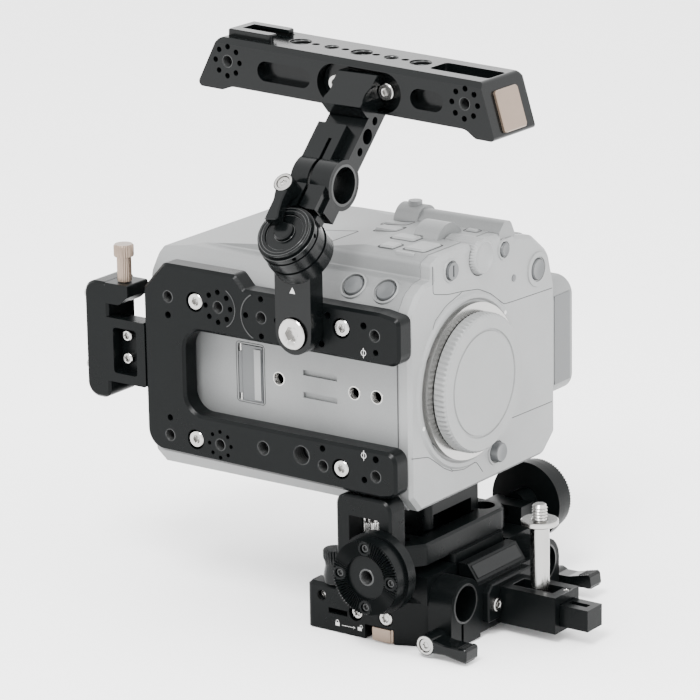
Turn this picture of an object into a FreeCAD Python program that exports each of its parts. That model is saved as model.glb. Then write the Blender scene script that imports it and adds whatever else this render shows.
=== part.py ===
import FreeCAD, Part
import math
import os

# Cinema camera rig: a camera body held in a side plate, a quick-release base with rod clamps
# and rosettes, a lens support, a cable clamp at the rear and a top handle on a folding arm.
# X runs forward along the optical axis, Y to the camera operator's far side, Z up.
# The origin is the mouth of the tripod thread, on the base's bottom face.

V = FreeCAD.Vector
os.makedirs("parts", exist_ok=True)
doc = FreeCAD.newDocument("camera_rig")
sheet = doc.addObject("Spreadsheet::Sheet", "sizes")


class Size(float):
    """A driving dimension: a number that remembers its alias in the spreadsheet."""

    alias = ""


row = 0


def size(alias, number, note):
    """Write one driving dimension into the spreadsheet and return it."""
    global row
    row += 1
    sheet.set("A%d" % row, note)
    sheet.set("B%d" % row, str(number))
    sheet.setAlias("B%d" % row, alias)
    value = Size(number)
    value.alias = alias
    return value


# ---------------------------------------------------------------- driving dimensions, mm
rod_height = size("rod_height", 18.0, "centre of the 15 mm rods above the base's bottom")
rod_spacing = size("rod_spacing", 60.0, "distance between the two rods")
rod_radius = size("rod_radius", 7.5, "radius of a support rod")
rod_play = size("rod_play", 0.05, "radial play of a rod in its clamp")
optic_rise = size("optic_rise", 85.0, "optical axis above the rods")
camera_width = size("camera_width", 108.4, "camera body, side to side")
camera_near = size("camera_near", 41.5, "optical axis to the plate side of the body")
camera_length = size("camera_length", 131.5, "camera body, rear face to front face")
camera_top = size("camera_top", 160.0, "front of the top deck above the base's bottom")
deck_fall = size("deck_fall", 11.0, "drop of the top deck from its front half to the rear")
axis_to_bottom = size("axis_to_bottom", 47.8, "optical axis above the body's bottom")
shell_wall = size("shell_wall", 2.6, "wall of the camera's casing")
plate_stand_off = size("plate_stand_off", 4.5, "gap between side plate and camera body")
plate_thick = size("plate_thick", 8.2, "thickness of the side plate")
plate_upper = size("plate_upper", 27.0, "height of the side plate's upper limb")
plate_lower = size("plate_lower", 18.5, "height of the side plate's lower limb")
rosette_radius = size("rosette_radius", 15.9, "outer radius of a toothed rosette")
rosette_thick = size("rosette_thick", 6.0, "thickness of a rosette ring")
rosette_face = size("rosette_face", 64.5, "centre plane to a rosette's outer face")
rosette_height = size("rosette_height", 34.5, "rosette axis above the base's bottom")
base_half = size("base_half", 46.0, "half width of the quick-release base")
base_thick = size("base_thick", 20.0, "height of the quick-release base")
clamp_depth = size("clamp_depth", 11.5, "rod clamp along the rods")
clamp_wall = size("clamp_wall", 3.1, "wall round a rod bore")
bracket_top = size("bracket_top", 42.5, "top of the cage's bottom bracket")
bracket_thick = size("bracket_thick", 9.0, "thickness of the bottom bracket")
arm_thick = size("arm_thick", 9.0, "thickness of the handle arm")
arm_width = size("arm_width", 19.5, "width of the handle arm")
arm_lean = size("arm_lean", 45.0, "lean of the handle arm towards the centre, degrees")
handle_half = size("handle_half", 15.0, "half width of the top handle")
handle_tall = size("handle_tall", 20.0, "height of the top handle")
handle_bottom = size("handle_bottom", 215.0, "underside of the handle above the base's bottom")
handle_pitch = size("handle_pitch", 2.0, "nose-down pitch of the handle, degrees")
post_radius = size("post_radius", 4.0, "radius of the lens support's post")
post_tall = size("post_tall", 27.2, "height of the lens support's post")
support_reach = size("support_reach", 30.0, "length of the lens support's arm")
gap = size("gap", 0.3, "clearance between pieces that move past each other")
doc.recompute()

optic_height = rod_height + optic_rise
camera_bottom = optic_height - axis_to_bottom
camera_far = camera_width - camera_near
clamp_front = 36.0
camera_front = clamp_front - 18.5
camera_rear = camera_front - camera_length
plate_inner = camera_near + plate_stand_off
plate_outer = plate_inner + plate_thick

X_AXIS = V(1, 0, 0)
Y_AXIS = V(0, 1, 0)
Z_AXIS = V(0, 0, 1)
nodes = []


# ---------------------------------------------------------------- small helpers
def bind(thing, prop, value):
    """Set a property, tied to the spreadsheet when the value is a driving dimension."""
    if isinstance(value, Size):
        thing.setExpression(prop, "sizes." + value.alias)
    else:
        setattr(thing, prop, float(value))


def frame(at, x=X_AXIS, y=Y_AXIS, z=Z_AXIS):
    """A placement whose local axes point along x, y and z."""
    return FreeCAD.Placement(V(*at), FreeCAD.Rotation(x, y, z, "ZXY"))


def box(at, length, width, height):
    """Block with its lowest corner at a point."""
    piece = doc.addObject("Part::Box", "block")
    bind(piece, "Length", length)
    bind(piece, "Width", width)
    bind(piece, "Height", height)
    piece.Placement = FreeCAD.Placement(V(*at), FreeCAD.Rotation())
    return piece


def span(x0, x1, y0, y1, z0, z1):
    """Block between two corners."""
    return box((x0, y0, z0), x1 - x0, y1 - y0, z1 - z0)


def rod(at, axis, radius, height):
    """Cylinder from a point along an axis."""
    piece = doc.addObject("Part::Cylinder", "round")
    bind(piece, "Radius", radius)
    bind(piece, "Height", height)
    piece.Placement = FreeCAD.Placement(V(*at), FreeCAD.Rotation(Z_AXIS, V(*axis)))
    return piece


def cone(at, axis, radius1, radius2, height):
    """Cone from a point along an axis."""
    piece = doc.addObject("Part::Cone", "taper")
    bind(piece, "Radius1", radius1)
    bind(piece, "Radius2", radius2)
    bind(piece, "Height", height)
    piece.Placement = FreeCAD.Placement(V(*at), FreeCAD.Rotation(Z_AXIS, V(*axis)))
    return piece


def join(pieces):
    """Union of several pieces."""
    if len(pieces) == 1:
        return pieces[0]
    whole = doc.addObject("Part::MultiFuse", "union")
    whole.Shapes = pieces
    whole.Refine = True
    return whole


def less(piece, tools):
    """A piece with tools cut away."""
    if not tools:
        return piece
    result = doc.addObject("Part::Cut", "trimmed")
    result.Base = piece
    result.Tool = join(tools)
    result.Refine = True
    return result


def both(piece, other):
    """What two pieces have in common."""
    result = doc.addObject("Part::Common", "shared")
    result.Base = piece
    result.Tool = other
    return result


def node(piece, label):
    """Name a finished sub-part."""
    piece.Label = label
    nodes.append(piece)
    return piece


def outline_edges(points):
    """Closed outline; each point is (x, y) or (x, y, corner radius)."""
    count = len(points)
    starts = []
    ends = []
    arcs = []
    for i in range(count):
        here = V(points[i][0], points[i][1], 0)
        back = V(points[i - 1][0], points[i - 1][1], 0) - here
        ahead = V(points[(i + 1) % count][0], points[(i + 1) % count][1], 0) - here
        radius = points[i][2] if len(points[i]) > 2 else 0
        if radius <= 0:
            starts.append(here)
            ends.append(here)
            arcs.append(None)
            continue
        half = back.getAngle(ahead) / 2
        reach = radius / math.tan(half)
        back.normalize()
        ahead.normalize()
        into = back + ahead
        into.normalize()
        centre = here + into * (radius / math.sin(half))
        starts.append(here + back * reach)
        ends.append(here + ahead * reach)
        arcs.append(Part.Arc(here + back * reach, centre - into * radius, here + ahead * reach))
    edges = []
    for i in range(count):
        if arcs[i]:
            edges.append(arcs[i])
        after = starts[(i + 1) % count]
        if ends[i].distanceToPoint(after) > 1e-6:
            edges.append(Part.LineSegment(ends[i], after))
    return edges


def origin_plane(body, role):
    """One of a body's own origin planes."""
    for feature in body.Origin.OriginFeatures:
        if feature.Role == role:
            return feature
    return None


def slab(points, thick, placement, holes=(), sinks=(), bevel=0.0):
    """Sketched plate padded up from its placement's plane, with round holes through it.

    A hole is (x, y, radius); a sink is (x, y, radius, depth) and starts at the top face.
    """
    body = doc.addObject("PartDesign::Body", "plate")
    sketch = body.newObject("Sketcher::SketchObject", "outline")
    sketch.AttachmentSupport = (origin_plane(body, "XY_Plane"), [""])
    sketch.MapMode = "FlatFace"
    sketch.addGeometry(outline_edges(points), False)
    for x, y, radius in holes:
        sketch.addGeometry(Part.Circle(V(x, y, 0), Z_AXIS, radius), False)
    pad = body.newObject("PartDesign::Pad", "pad")
    pad.Profile = sketch
    bind(pad, "Length", thick)
    doc.recompute()
    if bevel > 0:
        names = []
        for i, edge in enumerate(pad.Shape.Edges):
            low = min(v.Z for v in edge.Vertexes)
            flat = abs(low - thick) < 1e-6 and abs(edge.BoundBox.ZLength) < 1e-6
            hole_edge = edge.Curve.TypeId == "Part::GeomCircle" and edge.isClosed()
            if flat and not hole_edge:
                names.append("Edge%d" % (i + 1))
        chamfer = body.newObject("PartDesign::Chamfer", "bevel")
        chamfer.Base = (pad, names)
        chamfer.Size = bevel
        doc.recompute()
    body.Placement = placement
    out = placement.Rotation.multVec(Z_AXIS)
    mouths = [rod(placement.multVec(V(x, y, float(thick) - depth)), out, radius, depth + 1)
              for x, y, radius, depth in sinks]
    return less(body, mouths)


def ring_of(x, y, radius, hole, count=8, turn=0.0):
    """Holes (x, y, radius) evenly spaced round a circle."""
    made = []
    for i in range(count):
        angle = math.radians(turn + 360.0 * i / count)
        made.append((x + radius * math.cos(angle), y + radius * math.sin(angle), hole))
    return made


def cap_screw(at, axis, head, tall, shank, length, key):
    """Socket screw: head seated at a point, shank running against the axis."""
    out = V(*axis)
    start = V(*at)
    parts = [rod(start, out, head, tall)]
    if length > 0:
        parts.append(rod(start - out * length, out, shank, length + 0.5))
    socket = rod(start + out * (tall * 0.35), out, key, tall)
    return less(join(parts), [socket])


NEAR = dict(x=X_AXIS, y=Z_AXIS, z=V(0, -1, 0))      # local x forward, y up, z towards the plate side
FAR = dict(x=V(-1, 0, 0), y=Z_AXIS, z=Y_AXIS)
FRONT = dict(x=Y_AXIS, y=Z_AXIS, z=X_AXIS)

# ---------------------------------------------------------------- camera body
# Casing: one long profile with a shoulder, hollow, closed by the front cover.
casing_front = camera_front - 6.0
deck_near = -camera_near + 17.0
deck_far = camera_far - 32.0
profile = [(-camera_near + 6.5, camera_bottom), (camera_far - 9, camera_bottom, 2),
           (camera_far, camera_bottom + 8, 3), (camera_far, camera_top - 31, 9),
           (camera_far - 4.4, camera_top - 15.5, 9), (camera_far - 17, camera_top - 5.8, 9),
           (deck_far + 1.5, camera_top - 3.1, 0.8), (deck_far - 0.5, camera_top - 1.5, 2.5),
           (deck_far - 4, camera_top, 3), (deck_near + 5.8, camera_top, 3),
           (deck_near, camera_top - 2, 2.2), (deck_near, camera_top - 9, 0.8),
           (deck_near - 5.5, camera_top - 9.4, 4), (deck_near - 11.5, camera_top - 12.7, 6),
           (-camera_near, camera_top - 20, 9), (-camera_near, camera_bottom + 7, 3)]
fall_from = -20.0
fall_to = camera_rear - 1


def inset(points, wall):
    """The same profile, drawn a wall inside, by scaling about its middle."""
    ys = [p[0] for p in points]
    zs = [p[1] for p in points]
    cy = (min(ys) + max(ys)) / 2
    cz = (min(zs) + max(zs)) / 2
    fy = 1 - 2 * wall / (max(ys) - min(ys))
    fz = 1 - 2 * wall / (max(zs) - min(zs))
    return [(cy + (p[0] - cy) * fy, cz + (p[1] - cz) * fz) + tuple(p[2:]) for p in points]


def deck_height(x):
    """Height of the top deck: level at the front, falling towards the rear."""
    return camera_top - deck_fall * max(0.0, (fall_from - x) / (fall_from - fall_to))


def above_deck(drop):
    """Everything above the falling part of the deck, lowered by a drop."""
    z0 = deck_height(fall_from) - drop
    z1 = deck_height(fall_to) - drop
    return slab([(fall_to - 2, z1), (fall_from, z0), (fall_from, z0 + 15), (fall_to - 2, z0 + 15)],
                130, frame((0, 75, 0), **NEAR))


casing_out = less(slab(profile, casing_front - camera_rear, frame((camera_rear, 0, 0), **FRONT)),
                  [above_deck(0)])
casing_in = less(slab(inset(profile, shell_wall), casing_front - camera_rear - shell_wall + 1,
                      frame((camera_rear + shell_wall, 0, 0), **FRONT)), [above_deck(shell_wall)])
dial_at = (10.0, camera_top - 6.4)
dial_radius = 7.9
dial_rear = 2.4
dial_room = rod((dial_rear - gap, dial_at[0], dial_at[1]), (1, 0, 0), dial_radius + gap, 20)
below_deck = span(-60, 10, -10, 45, camera_top - 20, camera_top - 1.5)
dial_hump = rod((-10, dial_at[0] + 0.4, camera_top - 4.5), (1, 0, 0), 10.1, dial_rear - gap + 10)
switch_hump = rod((-36, 32, camera_top - 2.5), (1, 0, 0), 7.6, 12)
switch_knob = rod((-29.5, 31.5, camera_top), (0, 0, 1), 3.0, 6.6)
ridge_points = [(25, camera_top - 3.2), (25, camera_top), (29, camera_top + 4, 3),
                (33.5, camera_top + 4, 3.5), (37.2, camera_top - 3.2)]
ridge = slab(ridge_points, 44, frame((-27, 0, 0), **FRONT))
on_deck = [less(join([dial_hump, switch_hump]), [below_deck]), switch_knob, ridge]
door_x = -63.0
door_z = 103.7
door_wide = 12.5
door_tall = 24.0
door_pocket = span(door_x - door_wide / 2 - gap, door_x + door_wide / 2 + gap,
                   -camera_near - 1, -camera_near + 1.8,
                   door_z - door_tall / 2 - gap, door_z + door_tall / 2 + gap)
shoulder_out = V(0, -0.72, 0.694)
shoulder_at = {"record_button": V(2.3, -35.6, 147.2), "assign_button": V(-13.7, -35.6, 147.2)}
side_button = 4.4
button_holes = [rod(at + shoulder_out * 2.5, -shoulder_out, side_button + gap, 8)
                for at in shoulder_at.values()]
side_holes = [rod((x, -camera_near - 1, 103.6), (0, 1, 0), 2.6, 1 + shell_wall + 1)
              for x in (-48.4, -10.1, 1.1)]
slots = [span(-36, -18.8, -camera_near - 1, -camera_near + 1.4, z - 1.2, z + 1.2)
         for z in (108.3, 98.7)]
deck_buttons = [(3.2, -10.5, 10.0, 13.0), (-11.0, -1.5, 11.0, 7.0), (-9.4, -15.2, 7.0, 7.0),
                (-27.0, 9.0, 11.0, 7.0)]
deck_holes = [span(x - wide / 2 - gap, x + wide / 2 + gap, y - deep / 2 - gap, y + deep / 2 + gap,
                   camera_top - shell_wall - 4, camera_top + 1) for x, y, wide, deep in deck_buttons]
rear_mouth = span(camera_rear - 1, camera_rear + shell_wall + 1, -22, 22, 72, 128)
casing = less(join([casing_out] + on_deck), [casing_in, door_pocket, rear_mouth, dial_room]
              + button_holes + side_holes + slots + deck_holes)
node(casing, "camera_casing")

# Front cover: carries the lens mount, dial and buttons.
cover_profile = inset(profile, 0.35)
mount_radius = 33.0
knob_at = (-11.5, 152.4)
knob_radius = 3.6
small_at = (27.6, 152.6)
small_radius = 2.9
white_at = (53.0, 138.4)
white_radius = 4.5
release_at = (20.5, 66.8)
release_radius = 4.2
front_controls = [(dial_at, dial_radius), (knob_at, knob_radius), (small_at, small_radius),
                  (white_at, white_radius), (release_at, release_radius)]
cover = slab(cover_profile, 6.0, frame((casing_front, 0, 0), **FRONT),
             holes=[(0, optic_height, 24.0)]
             + [(at[0], at[1], radius + gap) for at, radius in front_controls[1:]], bevel=1.5)
node(less(cover, [dial_room, slab(ridge_points, 10, frame((casing_front - 1, 0, 0), **FRONT))]),
     "front_cover")

# Rear battery, sensor unit and boards inside the casing.
battery = span(camera_rear - 20, camera_rear + shell_wall + 0.9, -21, 21, 73, 127)
node(battery, "battery")
sensor = less(span(-9, -5.4, -24, 24, optic_height - 19, optic_height + 19),
              [span(-6.4, -5, -18, 18, optic_height - 12, optic_height + 12)])
node(sensor, "sensor_unit")
node(span(-14, -11.5, -28, 48, 62, 146), "main_board")
fan = less(rod((-60, 40, 100), (0, 1, 0), 19, 14), [rod((-60, 39.5, 100), (0, 1, 0), 7, 15)])
node(fan, "cooling_fan")

# Lens mount ring and body cap.
mount_ring = less(rod((camera_front + 0.02, 0, optic_height), (1, 0, 0), mount_radius, 2.6),
                  [rod((camera_front - 1, 0, optic_height), (1, 0, 0), 22.8, 5)])
node(mount_ring, "mount_ring")
cap_base = camera_front + 2.9
cap_out = rod((cap_base, 0, optic_height), (1, 0, 0), 29.5, 5.7)
cap_bayonet = rod((camera_front - 4, 0, optic_height), (1, 0, 0), 22.4, 8)
cap_hollow = rod((camera_front - 5, 0, optic_height), (1, 0, 0), 20.4, 9.5)
cap_groove = less(rod((cap_base + 5.2, 0, optic_height), (1, 0, 0), 22.6, 2),
                  [rod((cap_base + 5, 0, optic_height), (1, 0, 0), 22.0, 2.5)])
node(less(join([cap_out, cap_bayonet]), [cap_hollow, cap_groove]), "body_cap")

# Controls: each passes through its own hole with clearance.
for label, (at, radius), proud in (("front_dial", front_controls[0], 2.2),
                                   ("slotted_knob", front_controls[1], 1.6),
                                   ("front_button", front_controls[2], 1.3),
                                   ("white_balance_button", front_controls[3], 1.0),
                                   ("lens_release_button", front_controls[4], 3.4)):
    rear = dial_rear if label == "front_dial" else camera_front - 4.5
    stem = rod((rear, at[0], at[1]), (1, 0, 0), radius, camera_front + proud - rear)
    marks = []
    if label == "slotted_knob":
        marks = [span(camera_front + proud - 0.8, camera_front + proud + 1,
                      at[0] - 0.5, at[0] + 0.5, at[1] - 2.4, at[1] + 2.4)]
    if label == "front_dial":
        marks = [rod((camera_front + proud - 0.5, at[0], at[1]), (1, 0, 0), 4.2, 1)]
    node(less(stem, marks), label)
for label, at in shoulder_at.items():
    node(rod(at - shoulder_out * 4.0, shoulder_out, side_button, 4.9), label)
for i, (x, y, wide, deep) in enumerate(deck_buttons):
    cap_top = deck_height(x) + 0.9
    node(span(x - wide / 2, x + wide / 2, y - deep / 2, y + deep / 2, cap_top - 5, cap_top),
         "deck_button_%d" % (i + 1))

# Side door over the card slots, hinged on a pin at its rear edge.
door = span(door_x - door_wide / 2 + 2.2, door_x + door_wide / 2, -camera_near - 0.3,
            -camera_near + 1.5, door_z - door_tall / 2, door_z + door_tall / 2)
knuckle = rod((door_x - door_wide / 2 + 1.3, -camera_near + 0.2, door_z - door_tall / 2 + 3),
              (0, 0, 1), 1.1, door_tall - 6)
door_pin = rod((door_x - door_wide / 2 + 1.3, -camera_near + 0.2, door_z - door_tall / 2 - 0.2),
               (0, 0, 1), 0.5, door_tall + 0.4)
leaf = span(door_x - door_wide / 2 + 1.3, door_x - door_wide / 2 + 3, -camera_near + 0.1,
            -camera_near + 1.2, door_z - door_tall / 2 + 3, door_z + door_tall / 2 - 3)
pin_hole = rod((door_x - door_wide / 2 + 1.3, -camera_near + 0.2, door_z - door_tall / 2),
               (0, 0, 1), 0.55, door_tall)
node(less(join([door, knuckle, leaf]), [pin_hole]), "side_door")
node(door_pin, "door_pin")

# Housing on the far side.
vent_x = (-15.0, 50.0)
vent_z = (77.0, 128.0)
housing = slab([(vent_x[0], vent_z[0], 8), (vent_x[1], vent_z[0], 8),
                (vent_x[1], vent_z[1], 8), (vent_x[0], vent_z[1], 8)], 19,
               frame((0, camera_far, 0), **FAR), bevel=2.0)
vent_panel = span(14.0, 16.0, camera_far + 3, camera_far + 15, vent_z[0] + 6, vent_z[1] - 6)
node(less(housing, [vent_panel]), "side_housing")
node(span(14.0, 15.2, camera_far + 3, camera_far + 15, vent_z[0] + 6, vent_z[1] - 6), "vent_panel")

# ---------------------------------------------------------------- side plate
plate_rear = camera_rear + 5.0
plate_front = clamp_front - 14.5
plate_bottom = 67.0
plate_top = 149.0
limb_high = plate_top - plate_upper
limb_low = plate_bottom + plate_lower
window_rear = plate_rear + 21.0
plate_row_high = 134.6
plate_row_low = 74.8
pivot_x = -24.5
pivot_z = 131.8
plate_screws = [(-81.7, plate_row_high), (-7.0, plate_row_high), (-83.0, plate_row_low),
                (-8.5, plate_row_low)]
plate_outline = [(plate_rear, plate_bottom, 9), (plate_front - 10, plate_bottom - 1.5, 6),
                 (plate_front - 2.5, plate_bottom, 4), (plate_front - 2.5, limb_low, 5),
                 (window_rear, limb_low, 9), (window_rear, limb_high, 9),
                 (plate_front, limb_high, 5), (plate_front, plate_top - 7, 3),
                 (plate_front - 10, plate_top - 5.5, 2), (-56, plate_top - 5.5, 1),
                 (-61, plate_top, 3), (plate_rear + 11, plate_top, 3),
                 (plate_rear, plate_top - 12, 3)]
thread_r = 2.55
plate_holes = [(-95.8, 134.8, thread_r), (-47.4, 132.9, thread_r), (9.5, 133.9, thread_r),
               (-96.6, 74.5, thread_r), (-47.8, 77.0, 3.0), (-28.2, 77.3, 4.0),
               (-17.4, 74.5, thread_r), (9.0, 74.5, thread_r), (pivot_x, pivot_z, 4.05)]
plate_holes += [(-95.9, 126.9, 1.5), (-13.7, 139.0, 1.5), (-16.9, 126.6, 1.5),
                (4.1, 137.3, 1.5), (9.9, 126.9, 1.3), (-96.3, 82.2, 1.4), (-17.5, 82.0, 1.4),
                (9.1, 81.8, 1.5), (3.3, 72.2, 1.4)]
plate_holes += ring_of(-69.6, 134.1, 6.4, 1.2) + [(-69.6, 134.1, thread_r)]
plate_holes += ring_of(-70.2, 74.6, 5.6, 0.9) + [(-70.2, 74.6, thread_r)]
plate_holes += ring_of(-47.4, 132.9, 7.9, 1.3, 4)
plate_holes += [(x, z, 2.1) for x, z in plate_screws]
side_plate = slab(plate_outline, plate_thick, frame((0, -plate_inner, 0), **NEAR),
                  holes=plate_holes, bevel=1.2,
                  sinks=[(x, z, 4.3, 3.2) for x, z in plate_screws])
spacers = [rod((x, -camera_near, z), (0, -1, 0), 5.0, plate_stand_off) for x, z in plate_screws]
spacer_bores = [rod((x, -camera_near + 1, z), (0, -1, 0), 2.1, plate_stand_off + 2)
                for x, z in plate_screws]
node(less(join([side_plate] + spacers), spacer_bores), "side_plate")


def group(pieces, label):
    """Several like pieces kept as separate solids of one node."""
    made = doc.addObject("Part::Compound", "group")
    made.Links = pieces
    return node(made, label)


def screws(label, seats, axis, head, tall, shank, length, key):
    """Identical socket screws as separate solids in one node."""
    made = [cap_screw(seat, axis, head, tall, shank, length, key) for seat in seats]
    return group(made, label)


screws("plate_screws", [(x, -plate_outer + 3.2, z) for x, z in plate_screws], (0, -1, 0),
       3.6, 3.0, 2.0, 9.0, 1.5)

# ---------------------------------------------------------------- bottom bracket and riser
upright_rear = -12.0
upright_front = 15.5
upright_outer = 53.5
beam_front = 21.0
bracket_rear = -26.0
bracket_bottom = bracket_top - bracket_thick
floor_near = upright_outer - 10.0
floor_outline = [(bracket_rear, -30, 4), (upright_rear, -30), (upright_rear, -floor_near),
                 (upright_front, -floor_near), (beam_front, -36, 3), (beam_front, 27, 8),
                 (bracket_rear, 27, 8)]
floor_holes = [(-21, y, 2.2) for y in (-24, 20)]
floor_holes += [(12, 19, 5.0), (-2, -36, 2.2), (10, -36, 2.2)]
floor = slab(floor_outline, bracket_thick, frame((0, 0, bracket_bottom)), holes=floor_holes,
             bevel=1.0)
floor_window = span(-4, 13, -29, 11, bracket_bottom - 1, bracket_top + 1)
upright = slab([(upright_rear, base_thick + 1, 2), (upright_front, base_thick + 1, 2),
                (upright_front, 64.2, 5), (upright_rear, 64.2, 5)],
               upright_outer - floor_near, frame((0, -floor_near, 0), **NEAR), bevel=1.0)
upright_window = span(-5.3, 9.7, -upright_outer - 1, -floor_near + 1, 43.5, 55.5)
boss_x = 10.5
boss_bore = rod((boss_x, -upright_outer - 1, rosette_height), (0, 1, 0), 3.0, 12)
node(less(join([less(floor, [floor_window]), upright]), [upright_window, boss_bore]),
     "bottom_bracket")
riser = slab([(-24, -22, 4), (12, -22, 4), (12, 18, 4), (-24, 18, 4)],
             camera_bottom - bracket_top, frame((0, 0, bracket_top)),
             holes=[(-18, -15, 2.2), (-18, 11, 2.2), (-11, -2, 4.9)])
node(less(riser, [span(-4, 13, -18, 10, bracket_top - 1, bracket_top + 6)]), "riser_block")

# ---------------------------------------------------------------- quick-release base
base_rear = -33.0
base_front = clamp_front - clamp_depth
base_outline = [(base_rear, -base_half, 2.5), (10.5, -base_half, 3), (base_front, -40),
                (base_front, 40), (10.5, base_half, 3), (base_rear, base_half, 2.5)]
tripod_r = 4.76
quarter_r = 3.175
base_block = slab(base_outline, base_thick, frame((0, 0, 0)), bevel=1.5,
                  holes=[(0, 0, tripod_r), (-18, 0, quarter_r), (-18, -14, 1.6), (-18, 14, 1.6)])
base_cross = span(8, base_front, -41, 41, base_thick - 2, 30)
tunnels = [rod((base_rear - 1, y, rod_height), (1, 0, 0), rod_radius + 0.6, 70)
           for y in (-rod_spacing / 2, rod_spacing / 2)]
near_slot = span(-22, -12.4, -base_half - 1, -base_half + 4, 7.6, 10.0)
near_holes = [rod((x, -base_half - 1, z), (0, 1, 0), radius, deep)
              for x, z, radius, deep in ((-25.4, 14.6, 2.2, 6), (-8.3, 10.0, 3.4, 5),
                                         (7.0, 10.7, 3.6, 4.4))]
latch_seat = span(-3.5, 11, -base_half - 1, -base_half + 6, -1, 6.2)
latch_slide = span(-3.5, 11, -base_half + 5.9, -base_half + 8.0, 1.5, 4.5)
far_cheek = span(1, 20, 36, base_half, base_thick - 2, 38)
far_neck = rod((boss_x, base_half - 1, rosette_height), (0, 1, 0), 6.0,
               rosette_face - rosette_thick - 4.5 - base_half + 1)
far_bore = rod((boss_x, 30, rosette_height), (0, 1, 0), 3.0, 40)
plate_channel = span(-30, 26, -19.2, 19.2, base_thick - 4, 31)
node(less(join([base_block, base_cross, far_cheek, far_neck]),
          tunnels + near_holes + [near_slot, latch_seat, latch_slide, far_bore, plate_channel]),
     "base_block")
qr_plate = slab([(-29, -19, 2), (23, -19, 2), (23, 19, 2), (-29, 19, 2)],
                bracket_bottom - base_thick + 4, frame((0, 0, base_thick - 4)),
                holes=[(-22, -12, 2.2), (-22, 12, 2.2), (15, -12, 2.2), (15, 12, 2.2)])
node(less(qr_plate, [rod((0, 0, 10), (0, 0, 1), 6.0, 12)]), "release_plate")
latch = less(join([span(0.6, 10.5, -base_half - 0.6, -base_half + 5.6, 0.4, 6.0),
                   span(1, 9, -base_half + 5, -base_half + 7.7, 1.8, 4.2)]),
             [rod((10.5, -base_half - 0.6, -1), (0, 0, 1), 0.9, 8)])
node(latch, "safety_latch")
screws("base_screws", [(-25.4, -base_half + 3.5, 14.6), (-8.3, -base_half + 3.5, 10.0),
                       (7.0, -base_half + 1.2, 10.7)], (0, -1, 0), 2.1, 1.4, 1.1, 0.4, 1.0)
knob_x = -21.0
knob_y = -42.2
knob_profile = join([rod((knob_x, knob_y, base_thick + 0.3), (0, 0, 1), 4.8, 4),
                     cone((knob_x, knob_y, base_thick + 4.3), (0, 0, 1), 4.8, 4.0, 3.5),
                     cone((knob_x, knob_y, base_thick + 7.8), (0, 0, 1), 4.0, 5.0, 3.5),
                     rod((knob_x, knob_y, base_thick + 11.3), (0, 0, 1), 5.0, 3.4)])
node(knob_profile, "lock_knob")

# ---------------------------------------------------------------- rosettes
rosette_back = rosette_face - rosette_thick
seat_ring = ring_of(boss_x, rosette_height, 12.6, 1.1, 4)
bosses = []
rings = []
ring_screws = []
for side, start in ((-1, upright_outer), (1, rosette_back - 4.5)):
    out = (0, side, 0)
    mount = rod((boss_x, side * start, rosette_height), out, rosette_radius + 1.3,
                rosette_back - start)
    bosses.append(less(mount, [rod((boss_x, side * (start - 1), rosette_height), out, 3.0, 12)]))
    ring = rod((boss_x, side * rosette_back, rosette_height), out, rosette_radius, rosette_thick)
    cuts = [rod((boss_x, side * (rosette_back - 1), rosette_height), out, 3.0, 10),
            rod((boss_x, side * (rosette_face - 0.8), rosette_height), out, 9.2, 2)]
    for x, z, radius in seat_ring:
        cuts.append(rod((x, side * (rosette_face - 2.4), z), out, 2.0, 3))
        cuts.append(rod((x, side * (rosette_back - 1), z), out, radius, 9))
        ring_screws.append(cap_screw((x, side * (rosette_face - 2.4), z), out,
                                     1.8, 1.8, 1.0, 3.4, 0.9))
    rings.append(less(ring, cuts))


group(bosses, "rosette_mounts")
group(rings, "rosettes")
group(ring_screws, "rosette_screws")

# ---------------------------------------------------------------- rod clamp
clamp_r = rod_radius + clamp_wall
slit_offset = 2.5
lever_bolt_z = 5.4
lever_bolt_x = clamp_front - 5.5
clamp_parts = [span(base_front, clamp_front, -rod_spacing / 2, rod_spacing / 2, 2.0, 23.0)]
clamp_cuts = []
for side in (-1, 1):
    y = side * rod_spacing / 2
    clamp_parts.append(rod((base_front, y, rod_height), (1, 0, 0), clamp_r, clamp_depth))
    clamp_parts.append(span(base_front, clamp_front, y - clamp_r, y + clamp_r, 0.3, rod_height))
    clamp_cuts.append(rod((base_front - 1, y, rod_height), (1, 0, 0), rod_radius + rod_play, 30))
    slit_y = y + side * slit_offset
    clamp_cuts.append(span(base_front - 1, clamp_front + 1, slit_y - 0.8, slit_y + 0.8, -1,
                           rod_height))
    clamp_cuts.append(rod((lever_bolt_x, side * 24, lever_bolt_z), (0, side, 0), 2.1, 20))
name_wedge = slab([(base_front, 22), (clamp_front - 2, 22), (clamp_front - 2.2, 23.2),
                   (clamp_front - 7.1, 30.1), (base_front, 30.1)], 36,
                  frame((0, 18, 0), **NEAR))
node(less(join(clamp_parts + [name_wedge]), clamp_cuts), "rod_clamp")

LEVER_START = rod_spacing / 2 + clamp_r + gap


def lever(at, out, along, width, reach):
    """Clamping lever: round hub with a waisted arm, returned with its bolt and screw."""
    o = V(*at)
    z = V(*out)
    x = V(*along)
    y = z.cross(x)
    place = FreeCAD.Placement(o, FreeCAD.Rotation(x, y, z, "ZXY"))
    arm = slab([(-1, -3.4), (reach * 0.45, -2.2, 6), (reach, -3.4, 1.4), (reach, 3.2, 1.4),
                (reach * 0.8, 2.4, 3), (reach * 0.45, 2.2, 6), (-1, 3.4)], width,
               place.multiply(FreeCAD.Placement(V(0, 0, 2.0), FreeCAD.Rotation())), bevel=0.5)
    hub = rod(o, z, 4.3, width + 2.0)
    socket = rod(o + z * (width + 0.4), z, 3.1, 3)
    bolt_hole = rod(o - z, z, 1.9, width + 4)
    return less(join([arm, hub]), [socket, bolt_hole])


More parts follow.
